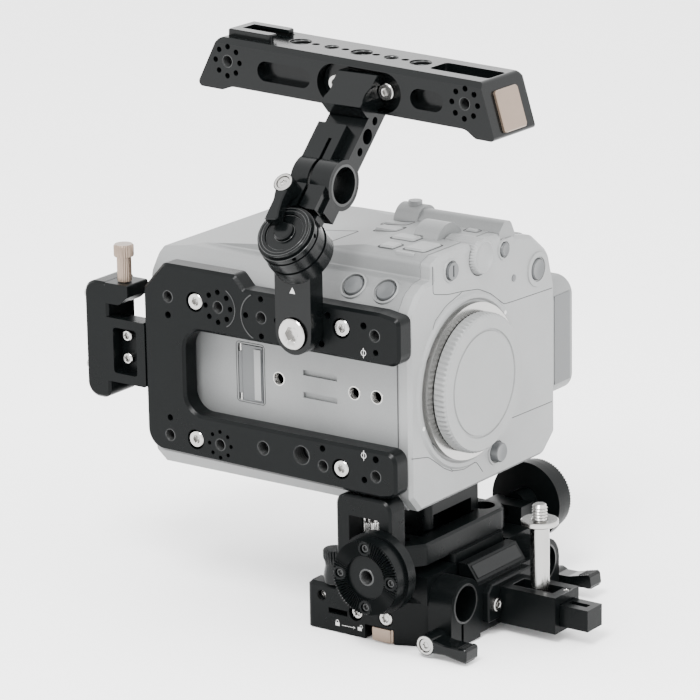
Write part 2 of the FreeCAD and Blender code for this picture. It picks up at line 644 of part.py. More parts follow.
for label, side, rise in (("near", -1, -3.0), ("far", 1, 8.0)):
    start = (lever_bolt_x, side * LEVER_START, lever_bolt_z)
    out = (0, side, 0)
    forward = (math.cos(math.radians(rise)), 0, math.sin(math.radians(rise)))
    node(lever(start, out, forward, 8.6, 20.0), label + "_lever")
    bolt = rod((lever_bolt_x, side * 25.2, lever_bolt_z), (0, side, 0), 1.85,
               LEVER_START + 9.2 - 25.2)
    head = less(rod((lever_bolt_x, side * (LEVER_START + 9.0), lever_bolt_z), (0, side, 0),
                    2.9, 1.3),
                [rod((lever_bolt_x, side * (LEVER_START + 9.4), lever_bolt_z), (0, side, 0),
                     1.1, 2)])
    node(join([bolt, head]), label + "_lever_bolt")

# ---------------------------------------------------------------- lens support
flange_x = clamp_front
arm_z0 = 4.0
arm_z1 = 19.8
arm_half = 9.0
flange = slab([(-17.5, 6, 1), (17.5, 6, 1), (17.5, 19), (14.5, 22), (-14.5, 22), (-17.5, 19)],
              3.0, frame((flange_x, 0, 0), **FRONT), bevel=0.6)
tube = span(flange_x + 1, flange_x + support_reach, -arm_half, arm_half, arm_z0, arm_z1)
slider_half = 5.5
slider_z0 = 6.6
slider_z1 = 15.8
channel = span(flange_x + 4, flange_x + support_reach + 1, -slider_half - gap, slider_half + gap,
               slider_z0 - gap, slider_z1 + gap)
post_x = flange_x + 16.8
post_travel = 5.0
top_slot = span(flange_x + 6, post_x + post_radius + post_travel,
                -post_radius - gap, post_radius + gap, arm_z1 - 6, arm_z1 + 1)
set_screw_at = (flange_x + 28.0, 2.6)
set_hole = rod((set_screw_at[0], set_screw_at[1], slider_z1), (0, 0, 1), 1.55, 6)
flange_bores = [rod((flange_x - 1, y, 13.5), (1, 0, 0), 1.7, 6) for y in (-13.2, 13.2)]
node(less(join([flange, tube]), [channel, top_slot, set_hole] + flange_bores), "support_arm")
set_screw = less(rod((set_screw_at[0], set_screw_at[1], slider_z1 + gap + 0.3), (0, 0, 1), 1.5, 3.4),
                 [rod((set_screw_at[0], set_screw_at[1], arm_z1 - 1), (0, 0, 1), 0.8, 3)])
group([cap_screw((flange_x + 3.0, y, 13.5), (1, 0, 0), 2.9, 2.0, 1.6, 3.0, 1.3)
       for y in (-13.2, 13.2)] + [set_screw], "support_screws")
slider = span(flange_x + 9.5, flange_x + support_reach + 13.5, -slider_half, slider_half,
              slider_z0, slider_z1)
slider_groove = span(flange_x + support_reach + 1.5, flange_x + support_reach + 10.5, -1.6, 1.6,
                     slider_z1 - 2.2, slider_z1 + 1)
node(less(slider, [slider_groove, rod((post_x, 0, slider_z0 - 1), (0, 0, 1), 2.5, 12)]),
     "support_slider")
post_foot = slider_z1
post_top = arm_z1 + post_tall
node(less(join([rod((post_x, 0, post_foot), (0, 0, 1), post_radius, post_top - post_foot),
                rod((post_x, 0, slider_z0 + 1), (0, 0, 1), 2.5, post_foot - slider_z0)]),
          [rod((post_x, 0, post_top - 8), (0, 0, 1), 2.6, 9)]), "support_post")
node(less(rod((post_x, 0, post_top + 0.05), (0, 0, 1), 7.8, 2.2),
          [rod((post_x, 0, post_top - 1), (0, 0, 1), quarter_r + 0.05, 5)]), "support_nut")
node(join([rod((post_x, 0, post_top - 7.5), (0, 0, 1), 2.55, 7.5),
           rod((post_x, 0, post_top), (0, 0, 1), 2.8, 2.8),
           rod((post_x, 0, post_top + 2.6), (0, 0, 1), quarter_r - 0.02, 5.6),
           cone((post_x, 0, post_top + 8.2), (0, 0, 1), quarter_r - 0.02, 2.5, 0.8)]),
     "support_stud")

# ---------------------------------------------------------------- handle arm
# The arm leans inwards: LEAN runs up along it, OUT points away from its near face.
lean = math.radians(arm_lean)
LEAN = V(0, math.sin(lean), math.cos(lean))
OUT = V(0, -math.cos(lean), math.sin(lean))
arm_x = pivot_x
bore_at = V(arm_x, -39.8, 189.8)
boss_radius = rod_radius + 3.0
hinge_at = bore_at - LEAN * 30.0
half_arm = arm_thick / 2
lap = -1.5
arm_x0 = arm_x - arm_width / 2
arm_x1 = arm_x + arm_width / 2


def on_arm(x, along, out):
    """Point at a height along the arm and a distance out of its middle plane."""
    return V(x, bore_at.y, bore_at.z) + LEAN * along + OUT * out


def arm_block(x0, x1, along0, along1, out0, out1):
    """Block square to the leaning arm."""
    piece = box((0, 0, 0), x1 - x0, along1 - along0, out1 - out0)
    piece.Placement = FreeCAD.Placement(on_arm(x0, along0, out0),
                                        FreeCAD.Rotation(X_AXIS, LEAN, OUT, "ZXY"))
    return piece


lower_back = plate_outer + gap
lower_face = lower_back + 8.5
lower_bar = span(arm_x - 8.9, arm_x + 8.9, -lower_face, -lower_back, pivot_z, 163)
lower_foot = rod((arm_x, -lower_back, pivot_z), (0, -1, 0), 8.9, lower_face - lower_back)
lower_head = rod(hinge_at + OUT * (lap - 7.0), OUT, 13.5, 6.7)
pivot_bore = rod((arm_x, -40, pivot_z), (0, -1, 0), 4.08, 30)
pivot_seat = rod((arm_x, -lower_face + 2.6, pivot_z), (0, -1, 0), 6.9, 10)
hinge_bore = rod(hinge_at - OUT * 20, OUT, 4.08, 40)
node(less(join([lower_bar, lower_foot, lower_head]), [pivot_bore, pivot_seat, hinge_bore]),
     "lower_arm")
node(cap_screw((arm_x, -lower_face + 2.3, pivot_z), (0, -1, 0), 6.5, 3.8, 4.0, 14.2, 2.9),
     "pivot_screw")

arm_bar = arm_block(arm_x0, arm_x1, -16, 44, -half_arm, half_arm)
arm_lap = arm_block(arm_x0 + 2, arm_x1 - 2, -30, -15, lap, half_arm)
arm_head = rod(hinge_at + OUT * lap, OUT, 13.0, half_arm - lap)
rod_boss = rod(on_arm(arm_x0, 0, 0), (1, 0, 0), boss_radius, arm_width)
upper_pad = arm_block(arm_x0, arm_x0 + 14, 6, 23, 3.5, 8.5)
lower_pad = arm_block(arm_x0, arm_x0 + 18, -17.4, -4, 3.5, 8.5)
bore = rod(on_arm(arm_x0 - 1, 0, 0), (1, 0, 0), rod_radius + rod_play, arm_width + 2)
slit = arm_block(arm_x - 1.3, arm_x + 0.3, -18, 16, 2, 14)
cross_holes = [rod(on_arm(arm_x0 - 1, along, 0), (1, 0, 0), radius, arm_width + 2)
               for along, radius in ((16.2, 1.75), (23.8, 3.2), (31.4, 1.75))]
lever_at = (arm_x - 6.5, -11.2)
lever_bore = rod(on_arm(lever_at[0], lever_at[1], -8), OUT, 2.1, 20)
above_arm = span(-60, 20, -60, 30, handle_bottom - 0.7, 260)
disc_room = rod(hinge_at + OUT * (half_arm + 0.0), OUT, 13.2, 12)
node(less(join([arm_bar, arm_lap, arm_head, rod_boss, upper_pad, lower_pad]),
          [bore, slit, hinge_bore, lever_bore, above_arm, disc_room] + cross_holes), "upper_arm")

disc_base = half_arm + gap
disc = join([rod(hinge_at + OUT * disc_base, OUT, 12.6, 2.8),
             rod(hinge_at + OUT * (disc_base + 2.8), OUT, 11.8, 2.0),
             rod(hinge_at + OUT * (lap - 6.5), OUT, 4.0, disc_base - lap + 7.0)])
set_holes = []
for i in range(6):
    turn = math.radians(60.0 * i + 10)
    away = X_AXIS * math.cos(turn) + LEAN * math.sin(turn)
    set_holes.append(rod(hinge_at + OUT * (disc_base + 1.4) + away * 10.0, away, 0.9, 4))
dish = rod(hinge_at + OUT * (disc_base + 4.1), OUT, 8.6, 2)
node(less(disc, set_holes + [dish]), "tension_disc")

lever_foot = on_arm(lever_at[0], lever_at[1], 8.8)
swing = X_AXIS * 0.14 - LEAN
swing.normalize()
node(lever(lever_foot, OUT, swing, 5.0, 17.5), "arm_lever")
lever_head = less(rod(lever_foot + OUT * 5.5, OUT, 2.9, 1.3), [rod(lever_foot + OUT * 5.9, OUT, 1.1, 2)])
node(join([rod(on_arm(lever_at[0], lever_at[1], -4.0), OUT, 1.8, 18.6), lever_head]),
     "arm_lever_bolt")

# ---------------------------------------------------------------- saddle and top handle
handle_top = handle_bottom + handle_tall
saddle_z = handle_bottom + 9.0
pocket_floor = handle_half - 8.0
ear_x = (arm_x - 12.5, arm_x + 12.5)
tilt = FreeCAD.Placement(V(0, 0, 0), FreeCAD.Rotation(Y_AXIS, float(handle_pitch)),
                         V(arm_x, 0, saddle_z))
saddle_block = slab([(-27.8, 219.6), (-15.3, 230.6, 1), (-pocket_floor - 0.1, 230.6),
                     (-pocket_floor - 0.1, 216.5), (-15.3, 216.5), (-15.3, handle_bottom - 0.7),
                     (-22.8, handle_bottom - 0.7)], arm_width, frame((arm_x0, 0, 0), **FRONT))
ear_plate = join([rod((x, -pocket_floor - 0.1, saddle_z), (0, -1, 0), 8.0, 3.5) for x in ear_x]
                 + [span(ear_x[0], ear_x[1], -pocket_floor - 3.6, -pocket_floor - 0.1,
                         saddle_z - 7.5, saddle_z + 6.6)])
ear_plate.Placement = tilt
ear_cuts = join([rod((x, -2, saddle_z), (0, -1, 0), 2.1, 20) for x in ear_x]
                + [rod((x, -pocket_floor - 3.6, saddle_z), (0, -1, 0), 3.7, 20) for x in ear_x])
ear_cuts.Placement = tilt
node(less(join([saddle_block, ear_plate]), [ear_cuts]), "saddle")
ear_screws = screws("saddle_screws", [(x, -pocket_floor - 3.6, saddle_z) for x in ear_x],
                    (0, -1, 0), 3.3, 2.6, 2.0, 8.0, 1.5)
ear_screws.Placement = tilt

side_outline = [(-107.6, handle_bottom - 2, 2), (-94, handle_bottom - 2, 3),
                (-89, handle_bottom, 6), (28, handle_bottom, 6), (33, handle_bottom - 3.2, 3),
                (42.5, handle_bottom - 3.2, 1.5), (34.5, handle_top, 2), (-97, handle_top, 3)]
thread_spots = [(-91.5, handle_bottom + 10.5), (27.5, handle_bottom + 10.5)]
side_threads = []
for x, z in thread_spots:
    side_threads += [(x, z, thread_r)] + ring_of(x, z, 6.2, 1.2)
side_body = slab(side_outline, 2 * handle_half, frame((0, handle_half, 0), **NEAR),
                 holes=side_threads)
section = slab([(-handle_half, handle_bottom - 6, 2), (handle_half, handle_bottom - 6, 2),
                (handle_half, handle_top - 2.2), (handle_half - 2.2, handle_top),
                (-handle_half + 2.2, handle_top), (-handle_half, handle_top - 2.2)], 170,
               frame((-120, 0, 0), **FRONT))
shoe_x0 = -96
shoe_x1 = -74


def side_slot(x0, x1, radius, depth, side):
    """Round-ended pocket in one side of the handle."""
    floor_y = handle_half - depth
    y0, y1 = sorted((side * floor_y, side * (handle_half + 1)))
    ends = [rod((x, side * floor_y, saddle_z), (0, side, 0), radius, depth + 1)
            for x in (x0 + radius, x1 - radius)]
    middle = span(x0 + radius, x1 - radius, y0, y1, saddle_z - radius, saddle_z + radius)
    return join(ends + [middle])


pockets = []
for side in (-1, 1):
    pockets.append(side_slot(-45.4, -3.6, 8.4, 8.0, side))
    pockets.append(side_slot(-76, -49, 4.2, 5.0, side))
    pockets.append(side_slot(1, 17, 4.2, 5.0, side))
top_holes = [rod((x, 0, handle_top - depth), (0, 0, 1), radius, depth + 1)
             for x, radius, depth in ((-64.8, tripod_r, 12), (-33.8, tripod_r, 12),
                                      (-4.4, tripod_r, 12), (-49.0, quarter_r, 12),
                                      (-19.0, quarter_r, 12), (-57.0, 1.7, 8), (-42.0, 1.7, 8),
                                      (-26.5, 1.7, 8), (-12.0, 1.7, 8))]
top_recess = slab([(4, -6.5, 2), (33, -6.5, 2), (33, 6.5, 2), (4, 6.5, 2)], 6,
                  frame((0, 0, handle_top - 4)))
under_channel = slab([(-84, -6, 5), (22, -6, 5), (22, 6, 5), (-84, 6, 5)], 6,
                     frame((0, 0, handle_bottom - 4)))
shoe_seat = span(shoe_x0, shoe_x1, -9, 9, handle_top - 0.8, handle_top + 1)
saddle_bores = [rod((x, -1.5, saddle_z), (0, -1, 0), 2.1, 20) for x in ear_x]
handle = less(both(side_body, section), pockets + top_holes + saddle_bores
              + [top_recess, under_channel, shoe_seat])
handle.Placement = tilt
node(handle, "top_handle")
shoe = less(slab([(shoe_x0, -9, 1), (shoe_x1, -9, 2), (shoe_x1, 9, 2), (shoe_x0, 9, 1)], 3.6,
                 frame((0, 0, handle_top - 0.8)), bevel=0.5),
            [span(shoe_x0 + 4, shoe_x1 + 1, -6.4, 6.4, handle_top, handle_top + 1.5),
             span(shoe_x0 + 4, shoe_x1 + 1, -4.2, 4.2, handle_top, handle_top + 5)])
shoe.Placement = tilt
node(shoe, "accessory_shoe")
ends = []
for middle, up, facing in (((38.9, 222.3), (-0.326, 0.945), 1), ((-102.6, 223.8), (0.434, 0.901), -1)):
    rise = V(up[0], 0, up[1])
    rise.normalize()
    outward = V(rise.z * facing, 0, -rise.x * facing)
    place = FreeCAD.Placement(V(middle[0], 0, middle[1]) + outward * 0.05,
                              FreeCAD.Rotation(rise.cross(outward), rise, outward, "ZXY"))
    ends.append(slab([(-8, -8.7, 1.5), (8, -8.7, 1.5), (8, 8.7, 1.5), (-8, 8.7, 1.5)], 1.4,
                     tilt.multiply(place), bevel=0.4))
group(ends, "handle_end_plates")

# ---------------------------------------------------------------- cable clamp at the rear
tail_rear = plate_rear - 32.0
tail_front = plate_rear - 19.5
tail_block = slab([(tail_rear, 85, 6), (tail_front, 85, 4), (tail_front, 136, 2),
                   (tail_rear, 136, 6)], 18, frame((0, -36, 0), **NEAR), bevel=1.0)
tail_arm = slab([(tail_front - 1, 93), (plate_rear, 93, 1), (plate_rear, 121, 1),
                 (tail_front - 1, 121)], 8, frame((0, -46, 0), **NEAR))
tail_pocket = slab([(tail_front + 2.5, 97, 1.5), (plate_rear - 4.5, 97, 1.5),
                    (plate_rear - 4.5, 117, 1.5), (tail_front + 2.5, 117, 1.5)], 7,
                   frame((0, -48, 0), **NEAR))
tongue = slab([(tail_front - 1, 127), (tail_front + 6, 127, 3), (tail_front + 11, 131, 1),
               (tail_front + 11, 136, 1), (tail_front - 1, 136)], 14, frame((0, -40, 0), **NEAR))
thumb_x = tail_front + 5.0
thumb_y = -48.0
thumb_bore = rod((thumb_x, thumb_y, 120), (0, 0, 1), 2.1, 30)
wall_seats = [(tail_front + 7.0, -48, z) for z in (103.0, 113.0)]
wall_bores = [rod((x, -49, z), (0, 1, 0), 1.3, 10) for x, y, z in wall_seats]
tail_seats = [(tail_rear, -50, z) for z in (98.0, 129.0)]
tail_bores = [rod((tail_rear - 1, y, z), (1, 0, 0), 1.6, 10) for x, y, z in tail_seats]
node(less(join([tail_block, tail_arm, tongue]),
          [tail_pocket, thumb_bore] + wall_bores + tail_bores), "cable_clamp")
group([cap_screw(seat, (0, -1, 0), 2.4, 2.4, 1.2, 1.6, 1.0) for seat in wall_seats]
      + [cap_screw(seat, (-1, 0, 0), 2.2, 1.6, 1.5, 7.0, 0.9) for seat in tail_seats],
      "clamp_screws")
thumb = less(join([rod((thumb_x, thumb_y, 127.6), (0, 0, 1), 2.0, 10),
                   rod((thumb_x, thumb_y, 136.3), (0, 0, 1), 3.1, 11),
                   rod((thumb_x, thumb_y, 147), (0, 0, 1), 4.3, 5.3)]),
             [span(thumb_x - 0.6, thumb_x + 0.6, thumb_y - 5, thumb_y + 5, 150.6, 153)])
node(thumb, "thumbscrew")

# ---------------------------------------------------------------- check and write
doc.recompute()
failed = [thing.Label for thing in doc.Objects if set(thing.State) & {"Invalid", "Error"}]
if failed:
    raise ValueError("objects failed: " + ", ".join(failed))
for piece in nodes:
    shape = piece.Shape
    if shape.isNull() or not shape.isValid() or not shape.Solids:
        raise ValueError("bad shape: " + piece.Label)
    shape.exportStep("parts/" + piece.Label + ".step")
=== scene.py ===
import math
import bpy
import numpy as np
from mathutils import Matrix, Vector


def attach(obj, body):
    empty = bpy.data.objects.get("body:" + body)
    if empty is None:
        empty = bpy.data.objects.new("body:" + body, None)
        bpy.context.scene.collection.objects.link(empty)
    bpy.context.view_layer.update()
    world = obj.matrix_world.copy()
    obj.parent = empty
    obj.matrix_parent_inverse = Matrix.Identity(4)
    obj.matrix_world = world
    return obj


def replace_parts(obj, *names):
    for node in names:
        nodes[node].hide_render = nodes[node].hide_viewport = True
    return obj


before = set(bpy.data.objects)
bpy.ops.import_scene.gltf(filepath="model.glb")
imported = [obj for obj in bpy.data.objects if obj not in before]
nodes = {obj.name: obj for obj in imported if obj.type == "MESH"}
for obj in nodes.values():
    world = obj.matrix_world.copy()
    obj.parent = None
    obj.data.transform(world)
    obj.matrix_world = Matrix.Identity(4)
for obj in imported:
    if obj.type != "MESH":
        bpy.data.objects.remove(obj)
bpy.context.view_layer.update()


# ---------------------------------------------------------------- camera casing and front cover
# The body is a cast magnesium shell under a pale, finely speckled paint, with a bevelled
# front cover screwed on. Its seams are hairline grooves, drawn here as thin dark beads.
def node_in(material, kind, **values):
    """Add one shader node and set its named inputs."""
    made = material.node_tree.nodes.new(kind)
    for key, value in values.items():
        made.inputs[key].default_value = value
    return made


def finish_of(name, colour, rough, metal=0.0, grain=900.0, depth=0.15, drift=0.06, wear=0.0,
              spec=0.5):
    """Surface whose colour and roughness drift softly and whose relief is a fine grain.

    Colour is the base colour times one plus or minus drift, read from a broad noise; roughness
    moves with the same noise; the bump is a fine noise of the given grain per metre. Wear
    darkens small specks by that share.
    """
    made = bpy.data.materials.new(name)
    made.use_nodes = True
    tree = made.node_tree
    shader = tree.nodes["Principled BSDF"]
    place = tree.nodes.new("ShaderNodeTexCoord")
    broad = node_in(made, "ShaderNodeTexNoise", Scale=38.0, Detail=5.0, Roughness=0.62)
    tree.links.new(place.outputs["Object"], broad.inputs["Vector"])
    tint = tree.nodes.new("ShaderNodeValToRGB")
    low = [c * (1 - drift) for c in colour]
    high = [min(1.0, c * (1 + drift)) for c in colour]
    tint.color_ramp.elements[0].position = 0.3
    tint.color_ramp.elements[1].position = 0.7
    tint.color_ramp.elements[0].color = (*low, 1)
    tint.color_ramp.elements[1].color = (*high, 1)
    tree.links.new(broad.outputs["Fac"], tint.inputs["Fac"])
    colour_out = tint.outputs["Color"]
    if wear > 0:
        speck = node_in(made, "ShaderNodeTexNoise", Scale=1700.0, Detail=2.0)
        tree.links.new(place.outputs["Object"], speck.inputs["Vector"])
        step = tree.nodes.new("ShaderNodeValToRGB")
        step.color_ramp.elements[0].position = 0.42
        step.color_ramp.elements[1].position = 0.62
        step.color_ramp.elements[0].color = (1 - wear, 1 - wear, 1 - wear, 1)
        step.color_ramp.elements[1].color = (1, 1, 1, 1)
        tree.links.new(speck.outputs["Fac"], step.inputs["Fac"])
        mixed = tree.nodes.new("ShaderNodeMix")
        mixed.data_type = "RGBA"
        mixed.blend_type = "MULTIPLY"
        mixed.inputs["Factor"].default_value = 1.0
        tree.links.new(colour_out, mixed.inputs["A"])
        tree.links.new(step.outputs["Color"], mixed.inputs["B"])
        colour_out = mixed.outputs["Result"]
    tree.links.new(colour_out, shader.inputs["Base Color"])
    span = tree.nodes.new("ShaderNodeMapRange")
    span.inputs["To Min"].default_value = max(0.02, rough - 0.07)
    span.inputs["To Max"].default_value = min(1.0, rough + 0.07)
    tree.links.new(broad.outputs["Fac"], span.inputs["Value"])
    tree.links.new(span.outputs["Result"], shader.inputs["Roughness"])
    fine = node_in(made, "ShaderNodeTexNoise", Scale=grain, Detail=3.0)
    tree.links.new(place.outputs["Object"], fine.inputs["Vector"])
    bump = node_in(made, "ShaderNodeBump", Strength=depth, Distance=0.00012)
    tree.links.new(fine.outputs["Fac"], bump.inputs["Height"])
    tree.links.new(bump.outputs["Normal"], shader.inputs["Normal"])
    shader.inputs["Metallic"].default_value = metal
    shader.inputs["Specular IOR Level"].default_value = spec
    return made


def dress(material, *names):
    """Give CAD nodes a finish through their own material slots."""
    for name in names:
        for place in nodes[name].material_slots:
            place.link = "OBJECT"
            place.material = material


shell_paint = finish_of("shell_paint", (0.135, 0.139, 0.139), 0.48, grain=2600, depth=0.30, wear=0.05)
cover_paint = finish_of("cover_paint", (0.178, 0.182, 0.182), 0.46, grain=2600, depth=0.25, wear=0.04)
dark_paint = finish_of("dark_paint", (0.062, 0.065, 0.067), 0.40, grain=2200, depth=0.2)
seam_shadow = finish_of("seam_shadow", (0.022, 0.023, 0.023), 0.8, depth=0.05)
print_white = finish_of("print_white", (0.42, 0.42, 0.415), 0.6, grain=3000, depth=0.05, drift=0.02)
bright_steel = finish_of("bright_steel", (0.36, 0.355, 0.345), 0.20, metal=1.0, grain=1200, depth=0.1)
dark_steel = finish_of("dark_steel", (0.03, 0.031, 0.031), 0.30, metal=0.6, grain=1500, depth=0.2)
black_metal = finish_of("black_anodised", (0.0016, 0.0021, 0.0022), 0.29, grain=1600, depth=0.25,
                        drift=0.12, spec=0.075)
arm_metal = finish_of("arm_anodised", (0.0015, 0.0020, 0.0021), 0.18, grain=1600, depth=0.2,
                      drift=0.12, spec=0.15)
dress(shell_paint, "camera_casing", "side_housing")
dress(cover_paint, "front_cover")


def mesh_piece(name, parts, material, body, crease=0.6):
    """Object at the origin from (points in mm, faces) parts, riding on a body."""
    points = []
    faces = []
    start = 0
    for some, quads in parts:
        points.append(np.asarray(some, float))
        faces += (np.asarray(q, int) + start for q in quads)
        start += len(some)
    data = bpy.data.meshes.new(name)
    data.from_pydata(np.concatenate(points) * 0.001, [], [tuple(map(int, f)) for f in faces])
    data.polygons.foreach_set("use_smooth", [True] * len(data.polygons))
    data.set_sharp_from_angle(angle=crease)
    data.materials.append(material)
    made = bpy.data.objects.new(name, data)
    bpy.context.scene.collection.objects.link(made)
    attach(made, body)
    return made


def grid_faces(rows, columns, wrap_rows=False):
    """Quads over a rows by columns grid of points, whose columns close round on themselves."""
    r = np.arange(rows if wrap_rows else rows - 1)
    c = np.arange(columns)
    r, c = np.meshgrid(r, c, indexing="ij")
    r2 = (r + 1) % rows
    c2 = (c + 1) % columns
    quads = np.stack([r * columns + c, r * columns + c2, r2 * columns + c2, r2 * columns + c], -1)
    return list(quads.reshape(-1, 4))


def bead(path, radius, closed=False, sides=8):
    """Round bead along a path: a circle of the radius carried square to each point's tangent."""
    path = np.asarray(path, float)
    if closed:
        tangent = np.roll(path, -1, 0) - np.roll(path, 1, 0)
    else:
        tangent = np.gradient(path, axis=0)
    tangent /= np.linalg.norm(tangent, axis=1)[:, None]
    side = np.cross(tangent, (0.31, 0.17, 0.93))
    side /= np.linalg.norm(side, axis=1)[:, None]
    up = np.cross(tangent, side)
    angle = np.linspace(0, 2 * math.pi, sides, endpoint=False)
    ring = (side[:, None] * np.cos(angle)[None, :, None]
            + up[:, None] * np.sin(angle)[None, :, None])
    points = (path[:, None] + ring * radius).reshape(-1, 3)
    faces = grid_faces(len(path), sides, wrap_rows=closed)
    if not closed:
        faces.append(np.arange(sides)[::-1])
        faces.append(np.arange(sides) + len(points) - sides)
    return points, faces


def turned(profile, at, axis, sides=64, ridges=0, twist=0.0):
    """Turned piece: (radius, height, shaping) rows swept round an axis from a point.

    The shaping of a row pulls its circle in by that many mm in each of the ridges, as half a
    cosine wave; ridges = -6 draws a hexagon instead, its shaping 1 for flat sides. Twist moves
    the wave round by that many turns per mm of height.
    """
    rows = np.array([tuple(p) + (0.0,) * (3 - len(p)) for p in profile], float)
    away = np.asarray(axis, float) / np.linalg.norm(axis)
    guide = np.array([0.0, 0.0, 1.0]) if abs(away[2]) < 0.9 else np.array([1.0, 0.0, 0.0])
    u = np.cross(guide, away)
    u /= np.linalg.norm(u)
    v = np.cross(away, u)
    theta = np.linspace(0, 2 * math.pi, sides, endpoint=False)
    radius, height, shaping = (rows[:, i][:, None] for i in range(3))
    if ridges < 0:
        part = math.pi / -ridges
        sector = (theta % (2 * part)) - part
        full = radius * (1 - shaping + shaping * math.cos(part) / np.cos(sector)[None, :])
    else:
        wave = 0.5 - 0.5 * np.cos(ridges * theta[None, :] + 2 * math.pi * twist * height)
        full = radius - shaping * wave
    points = (np.asarray(at, float) + away * height[..., None]
              + full[..., None] * (np.cos(theta)[None, :, None] * u
                                   + np.sin(theta)[None, :, None] * v))
    faces = grid_faces(len(rows), sides)
    faces.append(np.arange(sides)[::-1])
    faces.append(np.arange(sides) + (len(rows) - 1) * sides)
    return points.reshape(-1, 3), faces


def hollow(profile, at, axis, sides=64, ridges=0, twist=0.0):
    """Ring: the same sweep with the last row closed back on the first."""
    points = turned(profile, at, axis, sides, ridges, twist)[0]
    return points, grid_faces(len(profile), sides, wrap_rows=True)


def block(corner, size, bevel=0.4, x=(1, 0, 0), y=(0, 1, 0)):
    """Bevelled block: rounded rectangle outlines stacked at the bevelled heights.

    The corner is the lowest one; size runs along x, y and their cross product.
    """
    x = np.asarray(x, float)
    y = np.asarray(y, float)
    z = np.cross(x, y)
    lx, ly, lz = size
    t = np.linspace(0, math.pi / 2, 5)
    rows = []
    for inner, h in ((bevel, 0), (0, bevel), (0, lz - bevel), (bevel, lz)):
        radius = bevel * 1.4
        loop = []
        for i, (cx, cy) in enumerate(((lx - radius, ly - radius), (radius, ly - radius),
                                      (radius, radius), (lx - radius, radius))):
            a = t + i * math.pi / 2
            loop.append(np.column_stack([cx + (radius - inner) * np.cos(a),
                                         cy + (radius - inner) * np.sin(a)]))
        loop = np.concatenate(loop)
        rows.append(np.asarray(corner, float) + loop[:, :1] * x + loop[:, 1:] * y + h * z)
    sides = len(rows[0])
    faces = grid_faces(4, sides)
    faces.append(np.arange(sides)[::-1])
    faces.append(np.arange(sides) + 3 * sides)
    return np.concatenate(rows), faces


def hex_screw(at, axis, radius, tall, key, deep=1.6, shank=1.4, length=2.0):
    """Socket screw: bevelled round head, hexagon socket sunk into it, short shank below."""
    edge = min(0.35, tall / 4)
    rows = [(0.2, -length), (shank, -length), (shank, 0), (radius, 0.01), (radius, tall - edge),
            (radius - edge, tall), (key * 1.22, tall), (key * 1.15, tall - 0.25, 1.0),
            (key * 1.15, tall - deep, 1.0), (0.1, tall - deep - 0.3)]
    return turned(rows, at, axis, 48, ridges=-6)


def thread_sleeve(at, axis, radius, deep, pitch=1.0):
    """Tapped hole's lining: a tube whose bore is cut by one helical groove."""
    count = int(deep * 8)
    heights = np.linspace(-deep, -0.05, count)
    rows = [(radius - 0.30, h, -0.26) for h in heights]
    rows += [(radius + 0.1, 0.03), (radius + 0.12, -0.3), (radius + 0.12, -deep)]
    return hollow(rows[::-1], at, axis, 40, ridges=1, twist=1.0 / pitch)


def rounded(corners, step=0.8, loops=3):
    """Path through corners in mm, cut to short steps and softened by averaging neighbours."""
    corners = np.asarray(corners, float)
    runs = []
    for a, b in zip(corners[:-1], corners[1:]):
        count = max(2, int(np.linalg.norm(b - a) / step))
        runs.append(a + (b - a) * np.linspace(0, 1, count, endpoint=False)[:, None])
    path = np.concatenate(runs + [corners[-1:]])
    for _ in range(loops):
        path[1:-1] = (path[:-2] + 2 * path[1:-1] + path[2:]) / 4
    return path


def outline(centre, wide, tall, corner, count=8):
    """Closed rounded rectangle as a path of plane points."""
    t = np.linspace(0, math.pi / 2, count)
    loop = []
    for i, (sx, sy) in enumerate(((1, 1), (-1, 1), (-1, -1), (1, -1))):
        a = t + i * math.pi / 2
        loop.append(np.column_stack([centre[0] + sx * (wide / 2 - corner) + corner * np.cos(a),
                                     centre[1] + sy * (tall / 2 - corner) + corner * np.sin(a)]))
    return np.concatenate(loop)


def circle(centre, radius, start=0.0, end=360.0, count=64):
    """Arc as plane points, angles in degrees; a full turn leaves its last point out."""
    t = np.radians(np.linspace(start, end, count, endpoint=end - start < 360))
    return np.column_stack([centre[0] + radius * np.cos(t), centre[1] + radius * np.sin(t)])


def on_plane(path, axis, level):
    """Plane points lifted to space: the named axis holds the level, the others the points."""
    return np.insert(np.asarray(path, float), "XYZ".index(axis), level, axis=1)


front_x = 17.5                  # front face of the cover, in mm like every place below
near_side = -41.5               # Y of the shell's near side
axis_z = 103                    # height of the lens mount's axis
panel_edge = rounded([(-24.2, 157), (-24.2, 145.3), (-13.4, 142.8), (-3.7, 141.8), (8.6, 140),
                      (17.6, 136), (27.6, 129.1), (34.3, 128.7), (64.3, 127.5)])
mount_edge = rounded([(-3.7, 141.4), (-15.1, 138.4), (-23.2, 133.8), (-28.2, 122.9),
                      (-33, 105.3), (-31.2, 92.5), (-24.2, 79.2), (-11.4, 66.8), (-3.2, 65.3),
                      (5.9, 66.2), (10.8, 60.5)])
lower_edge = rounded([(-40.6, 79.8), (-29.1, 77.6), (-24.3, 74.4), (-17.9, 69.8), (-11.4, 66.6)])
right_edge = rounded([(33, 78.1), (64.1, 77.4)])
seams = [bead(on_plane(path, "X", front_x - 0.05), 0.17)
         for path in (panel_edge, mount_edge, lower_edge, right_edge)]
cover_joint = [(11.4, z) for z in np.linspace(74, 133, 40)]
seams.append(bead(on_plane(cover_joint, "Y", near_side + 0.05), 0.2))
seams.append(bead(on_plane(outline((-63.0, 103.7), 14.6, 26.0, 1.5), "Y", near_side), 0.16, True))
mesh_piece("cover_seams", seams, seam_shadow, "rig")

